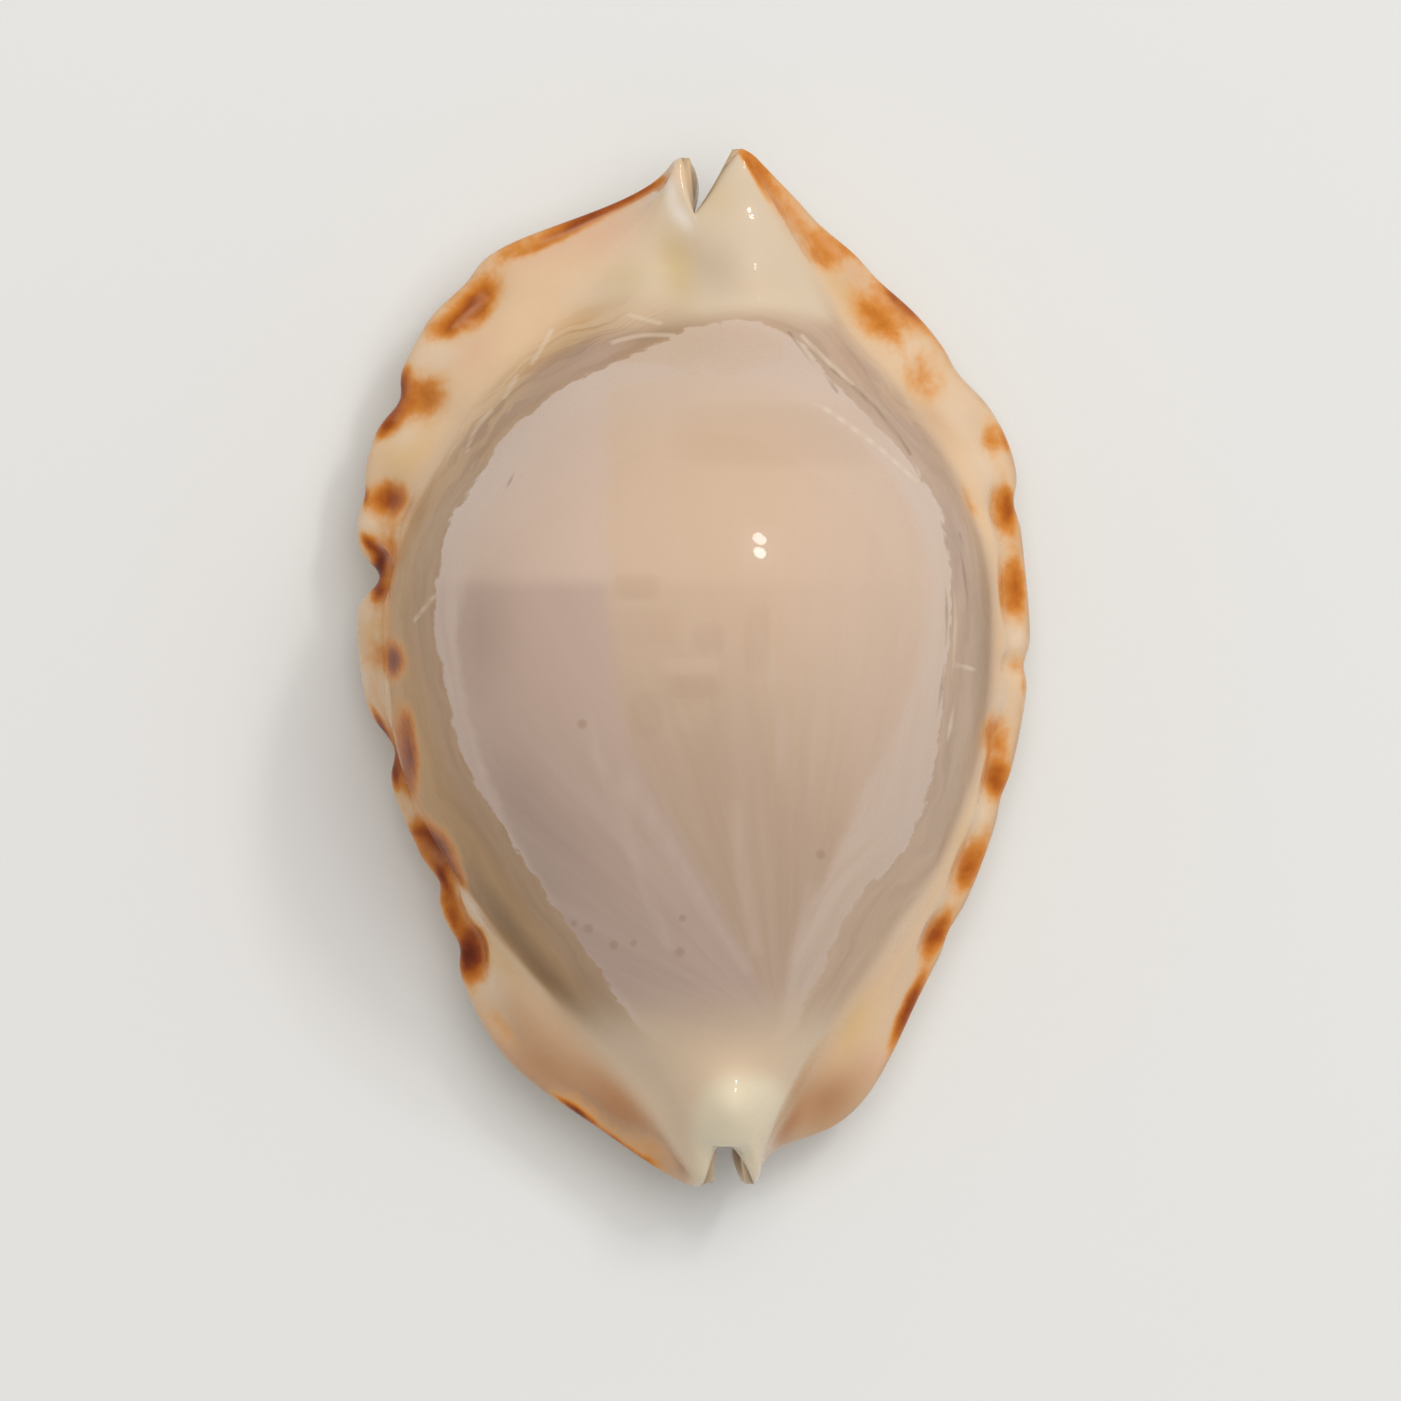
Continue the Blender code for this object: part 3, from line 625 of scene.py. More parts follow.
# %% Marks: x, y, half length, half width, turn in degrees, strength
# The brown stains, down the left side of the flange and then down the right side.
STAINS = [
    (-6.4, 24.95, 1.8, 0.3, 28, 0.6), (-4.2, 26.1, 1.6, 0.2, 27, 0.45),
    (-2.7, 26.85, 1.0, 0.18, 28, 0.4), (-9.0, 23.35, 1.3, 0.3, 25, 0.25),
    (-12.5, 20.4, 1.5, 0.4, 48, 0.45), (-13.7, 19.2, 0.9, 0.4, 25, 0.3),
    (-12.0, 20.1, 1.0, 0.6, 60, 0.3), (-16.35, 15.6, 1.2, 0.4, 72, 0.72),
    (-15.1, 15.0, 0.9, 0.8, 60, 0.16), (-17.1, 13.7, 1.0, 0.25, 58, 0.5),
    (-17.2, 9.5, 0.75, 0.6, 0, 0.55), (-18.3, 9.5, 0.6, 0.12, 88, 0.5),
    (-18.05, 6.8, 0.8, 0.3, 125, 0.75), (-17.6, 5.45, 1.0, 0.32, 84, 0.88),
    (-17.6, 4.3, 0.5, 0.28, 70, 0.6), (-16.6, 0.4, 0.8, 0.5, 95, 0.8),
    (-15.75, -3.1, 0.8, 0.42, 95, 0.4), (-15.7, -5.0, 1.3, 0.4, 92, 0.6),
    (-15.9, -6.5, 0.7, 0.35, 110, 0.35), (-17.15, -3.9, 1.8, 0.26, 114, 0.95),
    (-16.7, -5.7, 1.0, 0.2, 96, 0.9), (-14.25, -9.9, 1.1, 0.6, 125, 0.82),
    (-13.3, -11.4, 0.9, 0.35, 125, 0.55), (-15.3, -9.2, 0.6, 0.3, 150, 0.5),
    (-14.1, -11.7, 0.9, 0.18, 115, 0.7), (-13.6, -13.9, 0.9, 0.22, 112, 0.45),
    (-12.7, -16.0, 1.1, 0.45, 95, 0.9), (-12.4, -15.0, 0.5, 0.4, 100, 0.3),
    (-6.5, -24.75, 1.5, 0.2, 143, 0.85), (-4.3, -26.45, 1.2, 0.18, 143, 0.75),
    (-2.9, -27.4, 1.2, 0.16, 150, 0.4),
    (10.4, 20.2, 1.8, 1.1, 128, 0.1), (11.2, 18.8, 1.3, 0.8, 128, 0.2),
    (7.9, 22.9, 1.3, 0.9, 128, 0.08), (8.4, 24.0, 1.0, 0.2, 128, 0.4),
    (10.9, 21.2, 0.9, 0.22, 125, 0.45), (12.0, 20.1, 1.1, 0.18, 132, 0.4),
    (16.9, 12.8, 0.7, 0.35, 100, 0.03), (17.45, 12.5, 0.9, 0.13, 104, 0.3),
    (17.65, 8.9, 1.2, 0.28, 97, 0.42), (18.2, 4.4, 1.6, 0.26, 94, 0.3),
    (18.4, -1.0, 0.9, 0.2, 88, 0.3), (16.9, -3.9, 0.8, 0.38, 95, 0.05),
    (17.1, -6.3, 0.9, 0.45, 80, 0.34), (15.5, -11.3, 1.1, 0.45, 68, 0.36),
    (13.7, -14.9, 1.2, 0.35, 62, 0.46), (12.05, -19.1, 2.2, 0.3, 66, 0.6),
    (7.8, -25.5, 1.6, 0.15, 28, 0.3)]
# Their broad, orange surroundings.
HALOS = [
    (-7.2, 24.6, 3.0, 0.75, 28, 0.46), (-3.6, 26.4, 2.4, 0.5, 27, 0.5),
    (-10.4, 23.4, 1.6, 0.5, 30, 0.3), (-12.4, 20.3, 2.3, 1.3, 46, 0.52),
    (-14.3, 18.9, 1.2, 0.7, 20, 0.3), (-15.1, 15.1, 1.9, 1.6, 45, 0.42),
    (-16.9, 14.0, 1.6, 0.6, 62, 0.5), (-17.0, 9.4, 1.5, 1.4, 0, 0.44),
    (-17.2, 5.7, 2.3, 1.1, 85, 0.46), (-17.1, 0.5, 1.4, 1.3, 0, 0.42),
    (-17.4, 2.7, 1.2, 0.8, 90, 0.2), (-16.0, -4.6, 2.8, 0.9, 97, 0.55),
    (-14.4, -10.2, 2.4, 1.25, 125, 0.55), (-13.6, -13.3, 1.8, 0.5, 112, 0.5),
    (-12.4, -16.0, 1.9, 1.1, 95, 0.55), (-10.7, -20.1, 1.6, 0.7, 130, 0.25),
    (-6.2, -24.3, 2.2, 0.5, 143, 0.22), (-2.5, -27.0, 2.2, 1.1, 150, 0.26),
    (3.3, 28.0, 1.9, 0.9, 128, 0.5), (5.3, 25.6, 2.6, 0.9, 128, 0.36),
    (7.4, 23.3, 1.5, 1.2, 128, 0.36), (8.6, 23.9, 1.6, 0.6, 128, 0.4),
    (10.0, 19.8, 2.0, 1.5, 128, 0.38), (11.8, 20.2, 2.2, 0.55, 130, 0.45),
    (12.9, 16.1, 1.8, 1.5, 115, 0.34), (14.6, 17.3, 2.6, 0.35, 128, 0.38),
    (16.8, 12.8, 1.3, 0.95, 100, 0.38), (17.4, 8.9, 1.7, 0.8, 97, 0.48),
    (15.4, 9.2, 1.6, 0.45, 112, 0.32), (17.9, 4.4, 2.3, 0.85, 93, 0.48),
    (18.1, 0.2, 0.9, 0.6, 0, 0.3), (16.9, -3.7, 1.5, 0.95, 90, 0.43),
    (17.0, -6.2, 1.4, 0.8, 80, 0.5), (15.6, -10.8, 2.2, 0.9, 65, 0.45),
    (13.6, -14.9, 1.6, 0.6, 62, 0.47), (12.0, -19.1, 2.6, 0.5, 66, 0.45)]
# Other tones of glaze, each by the number that carries it.
MARKS = {
    # Pink, white, yellow and brown glaze between the stains; brown by the canal is partly painted
    # shade.
    "blush": [
        (-8.0, 23.6, 3.4, 1.2, 28, 0.5), (-12.0, 17.8, 1.6, 1.0, 50, 0.4),
        (-4.4, 24.4, 2.2, 1.1, 35, 0.6), (-10.6, -21.6, 3.0, 1.0, 140, 0.3),
        (9.2, 22.0, 0.9, 0.5, 130, 0.5), (16.6, -3.0, 3.0, 1.0, 88, 0.25),
        (-17.9, 3.4, 0.6, 0.5, 0, 0.4), (10.6, -17.0, 2.0, 0.8, 60, 0.1),
        (10.0, -22.2, 1.6, 0.9, 45, 0.5)],
    "milk": [
        (-15.35, -8.0, 0.8, 0.6, 120, 0.95), (11.8, 17.8, 1.4, 0.9, 128, 0.45),
        (9.4, 22.2, 1.0, 0.6, 128, 0.15), (-1.25, 26.6, 1.3, 0.36, 98, 0.8),
        (-0.6, 25.0, 0.9, 0.4, 125, 0.8), (14.8, 14.2, 2.2, 1.0, 118, 0.35),
        (16.3, 11.0, 1.3, 0.9, 100, 0.35), (-12.5, -13.3, 1.2, 0.5, 125, 0.85),
        (-14.4, 17.4, 1.6, 1.0, 52, 0.45), (-18.45, 8.0, 0.6, 0.6, 0, 0.6),
        (-18.5, -0.6, 0.6, 1.0, 0, 0.6), (-18.2, 3.2, 0.6, 0.8, 0, 0.5),
        (-11.6, 22.8, 1.2, 0.5, 38, 0.6), (18.2, 1.8, 0.5, 0.8, 0, 0.6),
        (17.0, -1.8, 0.6, 0.9, 0, 0.4), (-16.0, 12.9, 1.4, 0.7, 55, 0.3),
        (-11.4, -17.4, 1.6, 1.0, 125, 0.5), (16.0, -8.0, 0.9, 0.7, 75, 0.35)],
    "honey": [
        (-0.9, 22.3, 1.0, 2.0, 12, 0.6), (-15.6, 12.0, 2.2, 0.9, 62, 0.4),
        (-3.6, 21.6, 1.6, 1.2, 30, 0.3), (-17.7, 2.6, 0.8, 1.4, 0, 0.6),
        (-11.0, -16.2, 1.8, 0.8, 125, 0.6), (8.9, -19.8, 2.2, 0.9, 68, 0.6),
        (-16.6, 11.9, 1.0, 0.8, 40, 0.55), (14.6, -9.6, 2.4, 0.7, 65, 0.3),
        (8.6, 20.8, 2.4, 0.6, 128, 0.4), (13.2, 13.0, 2.6, 0.6, 122, 0.1),
        (1.2, 26.2, 1.2, 1.2, 0, 0.3)],
    "tawny_and_shade": [
        (9.0, 21.5, 4.5, 1.6, 128, 0.2), (5.6, 24.6, 1.6, 0.8, 128, 0.3),
        (13.4, 14.0, 1.8, 0.6, 125, 0.3), (14.8, 14.4, 2.6, 1.2, 118, 0.14),
        (-8.4, -22.2, 3.6, 1.9, 140, 0.7), (-4.0, -24.4, 3.6, 2.2, 143, 0.9),
        # Brown beside the front canal's left flank: partly painted shade of the fold there.
        (-1.1, -26.1, 2.0, 0.9, 115, 0.85), (7.4, -24.2, 2.8, 1.8, 38, 0.85),
        (5.3, -25.4, 1.8, 0.6, 60, 0.8), (-10.0, -18.8, 2.6, 0.8, 130, 0.3),
        (-0.8, -27.1, 1.6, 0.4, 102, 0.75), (-1.7, -27.8, 1.2, 0.5, 150, 0.45)],
    # Deeper lilac on the ring and the back, and painted shade, partly brown, in the groove and on
    # the ring.
    "mauve": [
        (11.0, 14.4, 5.5, 0.9, 128, 0.55), (14.6, 6.0, 4.5, 0.55, 96, 0.6),
        (-12.4, 12.6, 3.0, 0.8, 55, 0.5), (-9.2, 15.3, 2.4, 0.7, 45, 0.6),
        (-5.7, 17.5, 3.0, 0.9, 28, 0.85), (14.3, -3.0, 4.5, 0.45, 82, 0.4)],
    "violet": [
        (-11.6, 1.8, 1.5, 3.2, 0, 0.4), (-8.2, -10.3, 4.6, 2.4, 125, 0.45),
        (8.4, 12.6, 3.8, 1.6, 135, 0.32), (-9.6, -6.5, 3.4, 1.4, 110, 0.3),
        (-3.4, -16.0, 3.6, 2.6, 130, 0.2)],
    "shade_and_brown": [
        (-10.0, -12.8, 5.5, 1.4, 127, 0.22), (-5.2, -18.6, 3.0, 1.2, 137, 0.22),
        (-11.8, -9.4, 3.5, 1.2, 125, 0.12), (-1.8, 18.5, 2.6, 0.4, 8, 0.32),
        (16.3, 0.5, 7.0, 0.8, 90, 0.36)],
    # Where the ring breaks up into strands.
    "strand": [
        (-11.9, 15.0, 7.2, 1.9, 53, 0.95), (-4.4, 19.4, 4.0, 1.2, 20, 0.7),
        (11.0, 15.8, 5.0, 1.3, 128, 0.4)],
}
# Painted shade along the front of the groove: its points, half width and strength.
GROOVE_LINE = [(-14.0, -8.5), (-12.4, -11.3), (-10.6, -14.0), (-8.6, -16.6), (-6.2, -19.1),
               (-4.2, -21.3), (-2.5, -23.6)]
GROOVE_WIDTH, GROOVE_SHADE = 0.65, 0.68
numbers["stain"] = soft_marks(STAINS + HALOS, x, y)
for name, marks in MARKS.items():
    numbers[name] = soft_marks(marks, x, y)
groove_shade = np.exp(-(distance_to(open_line(GROOVE_LINE, 20), x, y) / GROOVE_WIDTH) ** 2)
groove_shade *= GROOVE_SHADE * fade(y, -9.0, -14.0)
numbers["shade_and_brown"] = 1 - (1 - numbers["shade_and_brown"]) * (1 - groove_shade)
print(len(STAINS), "stains along the flange")

# %% Where a point lies on the section
from_lip = np.minimum(places, OUTER_END - places)
hidden = np.zeros(len(cavity_places))


def across(outer_values, cavity_value):
    """A number that depends only on the place round the section, for all the points."""
    row = np.concatenate([outer_values, hidden + cavity_value])
    return np.tile(row, (len(stations), 1))


# Stains climb only a little way up the dome, and higher at the middle of the left flank.
STAIN_TOP, CLIMB = 1.4, 1.0                 # in places round the section, above the foot
climb = CLIMB * fade(x, -11.5, -13.5) * fade(y, -12.5, -10.5) * fade(y, 3.5, 2.0)
height = across(from_lip, OUTER_END) - climb
numbers["stain"] *= fade(height, FOOT_PLACE + STAIN_TOP, FOOT_PLACE + 0.3)
# Teeth are strongest on the lip's corner and die out towards the crown of the base.
lip_weight = np.interp(from_lip, [0, 1, 2, 3, 3.9], [0.7, 1.0, 0.95, 0.55, 0.0])
numbers["lip"] = across(lip_weight, 0.0)
numbers["rim"] = across(np.exp(-((from_lip - EDGE_PLACE) / 0.4) ** 2), 0.0)
# The ring's outer edge is crisp at the left and soft elsewhere.
soft_left = 0.45 + 1.6 * fade(y, -17.5, -21.5) + 1.3 * fade(y, 8.0, 14.0)
soft_right = 1.5 + fade(y, -10.0, -4.0) * fade(y, 9.0, 5.0)
softness = np.where(x > 0, soft_right, soft_left)
inset = (1.3 * fade(y, -10.0, -15.0) * fade(x, 0.0, 5.0)
         + 0.7 * fade(y, 8.5, 13.5) * fade(x, 0.0, -6.0))
numbers["dome"] = fade(across(from_lip, 0.0) - inset, FOOT_PLACE - softness, FOOT_PLACE + 0.3)
numbers["dome"] *= fade(y, 23.0, 19.8)
numbers["under"] = across(fade(from_lip, 7.3, 6.3), 0.0)
numbers["hollow"] = across(np.zeros(len(places)), 1.0)
numbers["along"] = np.repeat(stations[:, None], columns, axis=1)

RIDGE_WIDTH = 0.22
on_top = across(fade(from_lip, 7.0, 8.2) * fade(from_lip, 10.6, 9.4), 0.0)
numbers["pit"] = 2 * soft_marks(HALOS, x, y) * on_top
numbers["ridge"] = np.exp(-(numbers["ridge_gap"] / RIDGE_WIDTH) ** 2) * on_top

for name, values in numbers.items():
    layer = shell.data.attributes.new(name, "FLOAT", "POINT")
    layer.data.foreach_set("value", values.astype(np.float32).ravel())
print(len(numbers), "numbers at each point:", ", ".join(numbers))

# %% [markdown]
# ## Node tools
#
# Geometry Nodes and materials are both trees of nodes, so one small set of tools builds
# them: add a node and feed its sockets, turn a range of values into a soft step, read a
# noise. What a node gives is wrapped as a value that knows its tree, so that a sum of
# values can be written as a sum. The last tool lays the nodes out in columns, so that the
# finished trees can be read in Blender's editors.

# %% Tools for trees
class Value:
    """What a node gives. Arithmetic with it adds Math nodes to its tree."""

    def __init__(self, socket):
        self.socket, self.tree = socket, socket.id_data

    def __add__(self, other):
        return maths("ADD", self, other)

    def __sub__(self, other):
        return maths("SUBTRACT", self, other)

    def __rsub__(self, other):
        return maths("SUBTRACT", other, self)

    def __mul__(self, other):
        return maths("MULTIPLY", self, other)

    def __truediv__(self, other):
        return maths("DIVIDE", self, other)

    def __rtruediv__(self, other):
        return maths("DIVIDE", other, self)

    def __pow__(self, other):
        return maths("POWER", self, other)


def results(node):
    """The values that a node gives, by number and by name, where the first of a name counts."""
    pairs = [(key, socket) for number, socket in enumerate(node.outputs)
             for key in (number, socket.name)]
    return {key: Value(socket) for key, socket in reversed(pairs)}


def feed(node, feeds):
    """Give a node's input sockets a plain value, or what another node gives."""
    for socket, source in feeds.items():
        if isinstance(source, Value):
            source.tree.links.new(source.socket, node.inputs[socket])
        else:
            node.inputs[socket].default_value = source


def add(kind, feeds, tree=None, **settings):
    """A new node in the tree of its feeds, or in the one that is named. Returns its results."""
    for source in feeds.values():
        if isinstance(source, Value):
            tree = source.tree
    node = tree.nodes.new(kind)
    for name, value in settings.items():
        setattr(node, name, value)
    feed(node, feeds)
    return results(node)


def maths(operation, first, second=0.0):
    """The result of a Math node."""
    return add("ShaderNodeMath", {0: first, 1: second}, operation=operation)[0]


def step(value, start, end, low=0.0, high=1.0):
    """A soft step: low at the start, high at the end."""
    feeds = {"Value": value, "From Min": start, "From Max": end, "To Min": low, "To Max": high}
    return add("ShaderNodeMapRange", feeds, interpolation_type="SMOOTHSTEP")[0]


def noise(place, scale, detail=2.0, roughness=0.5):
    """The value of a Noise Texture."""
    feeds = {"Vector": place, "Scale": scale, "Detail": detail, "Roughness": roughness}
    return add("ShaderNodeTexNoise", feeds)[0]


def new_group(name, kind, inputs, outputs):
    """An empty node group: its tree, what its inputs give, and its output node. An input
    is given as a kind of socket, or as the first value of a float."""
    tree = bpy.data.node_groups.new(name, f"{kind}NodeTree")
    for socket, given in inputs.items():
        is_float = isinstance(given, float)
        made = tree.interface.new_socket(
            socket, in_out="INPUT", socket_type="NodeSocket" + ("Float" if is_float else given))
        if is_float:
            made.default_value = given
    for socket, given in outputs.items():
        tree.interface.new_socket(socket, in_out="OUTPUT", socket_type="NodeSocket" + given)
    return tree, results(tree.nodes.new("NodeGroupInput")), tree.nodes.new("NodeGroupOutput")


def arranged(tree):
    """The tree with its nodes in columns, each to the left of everything that it feeds."""
    depth = {node: 0 for node in tree.nodes}
    for _ in tree.nodes:
        for link in tree.links:
            depth[link.from_node] = max(depth[link.from_node], depth[link.to_node] + 1)
        if max(depth.values()) > len(tree.nodes):
            break
    filled = {}
    for node, column in depth.items():
        row = filled.get(column, 0)
        node.location = (-220 * column, -200 * row)
        filled[column] = row + 1
    return tree


# %% [markdown]
# ## Teeth, pits and the hand-made look of the glaze
#
# Nearly thirty teeth run along each lip. They repeat, they follow the lip, and they are
# folds of the same glaze, not pieces set into it, so a Geometry Nodes tree lifts them out
# of the skin: a wave along the lip, strongest on its corner, pushed out along the surface.
# The same tree sinks the pits under the brown spots, and gives the whole outside the very
# slight swell of glaze that was poured and not polished. That swell is what makes lights
# wander on the surface. The inputs are named, so each can be changed by itself.

# %% The relief tree
TEETH = 27
TOOTH_PITCH = 2 * (1 - 2 * RIM_SHARE) / (2 * TEETH + 10)    # in shares of the length
TOOTH_SHARPNESS = 1.3                       # more makes narrower teeth and wider gaps
TEETH_START, TEETH_FULL = 0.05, 0.1         # shares of the length, from either end
SWELL_SCALE = 170.0                         # swells in a metre


def relief_tree():
    """Teeth, pits and swell, on a skin that carries the numbers named above."""
    tree, given, end = new_group(
        "cowrie relief", "Geometry",
        {"Geometry": "Geometry", "Tooth Pitch": TOOTH_PITCH, "Tooth Rise": 0.0,
         "Pit Depth": 0.0, "Ridge Rise": 0.0, "Swell": 0.0, "Seed": 0.0,
         "Glaze": "Material", "Lining": "Material"},
        {"Geometry": "Geometry"})
    tree.is_modifier = True
    along, lip, pit, ridge, hollow = (
        add("GeometryNodeInputNamedAttribute", {"Name": name}, tree, data_type="FLOAT")[0]
        for name in ("along", "lip", "pit", "ridge", "hollow"))

    wave = maths("COSINE", (along - RIM_SHARE) * (2 * np.pi) / given["Tooth Pitch"])
    crown = (wave * 0.5 + 0.5) ** TOOTH_SHARPNESS
    ends = (step(along, TEETH_START, TEETH_FULL)
            * step(along, 1 - TEETH_START, 1 - TEETH_FULL))
    teeth = crown * (lip * ends) * given["Tooth Rise"]

    place = add("GeometryNodeInputPosition", {}, tree)[0]
    seeded = add("ShaderNodeVectorMath", {0: place, 1: given["Seed"]}, operation="ADD")[0]
    swell = (noise(seeded, SWELL_SCALE, 1.0) - 0.5) * (1.0 - hollow) * given["Swell"]

    rise = teeth - pit * given["Pit Depth"] + (swell + ridge * given["Ridge Rise"])
    normal = add("GeometryNodeInputNormal", {}, tree)[0]
    push = add("ShaderNodeVectorMath", {0: normal, "Scale": rise}, operation="SCALE")[0]
    lifted = add("GeometryNodeSetPosition", {"Geometry": given["Geometry"], "Offset": push})[0]

    # Nothing may sink below the ground that the shell lies on.
    reached = add("GeometryNodeInputPosition", {}, tree)[0]
    parts = add("ShaderNodeSeparateXYZ", {0: reached})
    level = maths("MAXIMUM", parts[2], 0.0)
    rested = add("ShaderNodeCombineXYZ", {0: parts[0], 1: parts[1], 2: level})[0]
    standing = add("GeometryNodeSetPosition", {"Geometry": lifted, "Position": rested})[0]

    plain = add("GeometryNodeRealizeInstances", {0: standing})[0]
    glazed = add("GeometryNodeSetMaterial", {"Geometry": plain, "Material": given["Glaze"]})[0]
    deep = maths("GREATER_THAN", hollow, 0.5)
    lined = add("GeometryNodeSetMaterial",
                {"Geometry": glazed, "Selection": deep, "Material": given["Lining"]})[0]
    feed(end, {"Geometry": lined})
    return arranged(tree)


# %% Relief made, and turned into a plain mesh
glaze, lining = (bpy.data.materials.new(f"cowrie {name}") for name in ("glaze", "lining"))
RELIEF = {"Tooth Pitch": TOOTH_PITCH, "Tooth Rise": 0.42 * MM, "Pit Depth": 0.5 * MM,
          "Ridge Rise": 0.12 * MM, "Swell": 0.1 * MM, "Seed": 7.0,
          "Glaze": glaze, "Lining": lining}
modifier = shell.modifiers.new("relief", "NODES")
modifier.node_group = relief_tree()
for item in modifier.node_group.interface.items_tree:
    if item.name in RELIEF:
        modifier[item.identifier] = RELIEF[item.name]

graph = bpy.context.evaluated_depsgraph_get()
finished = bpy.data.meshes.new_from_object(shell.evaluated_get(graph), depsgraph=graph)
shell.modifiers.clear()
shell.data = finished
shell.data.name = "porcelain_shell"
shell.data.shade_smooth()
spots = np.array([vertex.co for vertex in shell.data.vertices]) / MM
print("after the relief:", np.round(np.ptp(spots, axis=0), 2), "mm,",
      [material.name for material in shell.data.materials])

# %% Dressing the frame
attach(shell, "root")
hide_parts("shell")

# %% [markdown]
# ## Effects that both finishes share
#
# Glaze that was poured in coats has three habits. Its colour drifts a little over a few
# millimetres, fine lines of growth run along its edges, and its gloss isn't quite even.
# Each is a small shader node group with named inputs, made once and placed in both
# materials with its own values. A fourth group draws a soft-edged oval or block, for the
# freckles and the bands of the back.

# %% Colours, as they would be mixed in a paint box
def paint(red, green, blue):
    """A colour from 0 to 255 as the linear values that a shader takes."""
    share = np.array([red, green, blue]) / 255
    linear = np.where(share <= 0.04045, share / 12.92, ((share + 0.055) / 1.055) ** 2.4)
    return (*linear.tolist(), 1.0)


def blend(amount, under, over, mode="MIX"):
    """One colour laid over another by an amount."""
    feeds = {"Factor": amount, 6: under, 7: over}
    return add("ShaderNodeMix", feeds, data_type="RGBA", blend_type=mode)[2]


def vector(first, second, third=0.0):
    """Three values as one vector."""
    return add("ShaderNodeCombineXYZ", {0: first, 1: second, 2: third})[0]


def placed(group, **feeds):
    """The results of a node group. Underscores in the names stand for spaces."""
    spaced = {name.replace("_", " "): source for name, source in feeds.items()}
    return add("ShaderNodeGroup", spaced, node_tree=group)


# %% Group: colour drift
def drift_group():
    """A number near 1 that wanders over the surface, to multiply a colour by."""
    tree, given, end = new_group(
        "colour drift", "Shader", {"Position": "Vector", "Size": 4.0, "Amount": 0.06},
        {"Shade": "Float"})
    cloud = noise(given["Position"], 1.0 / given["Size"], 3.0, 0.55)
    feed(end, {"Shade": (cloud - 0.5) * (given["Amount"] * 2.0) + 1.0})
    return arranged(tree)


# %% Group: growth lines
def growth_group():
    """Fine lines, from 0 to 1, that keep their distance from a line and run along it."""
    tree, given, end = new_group(
        "growth lines", "Shader",
        {"Across": 0.0, "Along": 0.0, "Lines": 2.0, "Length": 0.2, "Sharpness": 0.3},
        {"Line": "Float"})
    spot = vector(given["Across"] * given["Lines"], given["Along"] * given["Length"])
    low = given["Sharpness"] * 0.3 + 0.3
    line = add("ShaderNodeMapRange", {"Value": noise(spot, 1.0, 3.0, 0.6), "From Min": low,
                                      "From Max": 1.0 - low})[0]
    feed(end, {"Line": line})
    return arranged(tree)


# %% Group: gloss of poured glaze
def gloss_group():
    """Roughness that varies a little, and the height of a faint waviness."""
    tree, given, end = new_group(
        "poured gloss", "Shader", {"Position": "Vector", "Roughness": 0.12, "Wave Size": 2.0},
        {"Roughness": "Float", "Height": "Float"})
    scale = 1.0 / given["Wave Size"]
    dull = noise(given["Position"], scale * 3.0) * 0.8 + 0.6
    feed(end, {"Roughness": dull * given["Roughness"],
               "Height": noise(given["Position"], scale)})
    return arranged(tree)


# %% Group: soft patch
def patch_group():
    """A soft mask: an oval where Squareness is 2, and nearly a block where it is more."""
    tree, given, end = new_group(
        "soft patch", "Shader",
        {"Position": "Vector", "Across": 0.0, "Up": 0.0, "Half Width": 1.0,
         "Half Height": 1.0, "Squareness": 2.0, "Softness": 0.5},
        {"Mask": "Float"})
    parts = add("ShaderNodeSeparateXYZ", {0: given["Position"]})
    wide, tall = ((maths("ABSOLUTE", parts[axis] - given[centre]) / given[half])
                  ** given["Squareness"]
                  for axis, centre, half in ((0, "Across", "Half Width"),
                                             (1, "Up", "Half Height")))
    mask = step(wide + tall, given["Softness"] + 1.0, 1.0 - given["Softness"])
    feed(end, {"Mask": mask})
    return arranged(tree)


drift, growth, gloss, patch = drift_group(), growth_group(), gloss_group(), patch_group()
print("shader groups:", [group.name for group in (drift, growth, gloss, patch)])

# %% [markdown]
# ## The glaze
#
# The colour is laid on in the order in which the animal did it: the base coat of the
# flange with its honey, pink and white stretches, the grey-tan coat low on the dome with
# its fine lines, the lilac coat with the tan wedge and the growth rays, the pale band
# along that coat's edge, and then the brown stains. Painted shade darkens the grey-tan
# coat, the groove, the tan towards the front and the brown by the front canal; a painted
# reflection lightens the lilac coat, and a painted highlight lies along the folds between
# the stains. The lines are ragged, so a little noise is added to each distance before the
# material asks on which side of it a point is.

# %% Paints
CREAM, IVORY = paint(228, 194, 156), paint(226, 212, 184)
HONEY_COAT, PINK_COAT = paint(226, 186, 124), paint(224, 176, 146)
WHITE_COAT, TAWNY_AND_SHADE = paint(234, 214, 190), paint(174, 121, 80)
TOOTH_COAT, GAP_COAT = paint(236, 226, 208), paint(196, 150, 108)
# Ring paints: darker partly as painted shade. Lilac, rose and tan: paler partly as painted
# reflection.
INNER_RING, OUTER_RING = paint(193, 160, 129), paint(206, 165, 118)
RIGHT_RING, MAUVE_COAT = paint(206, 178, 154), paint(188, 160, 146)
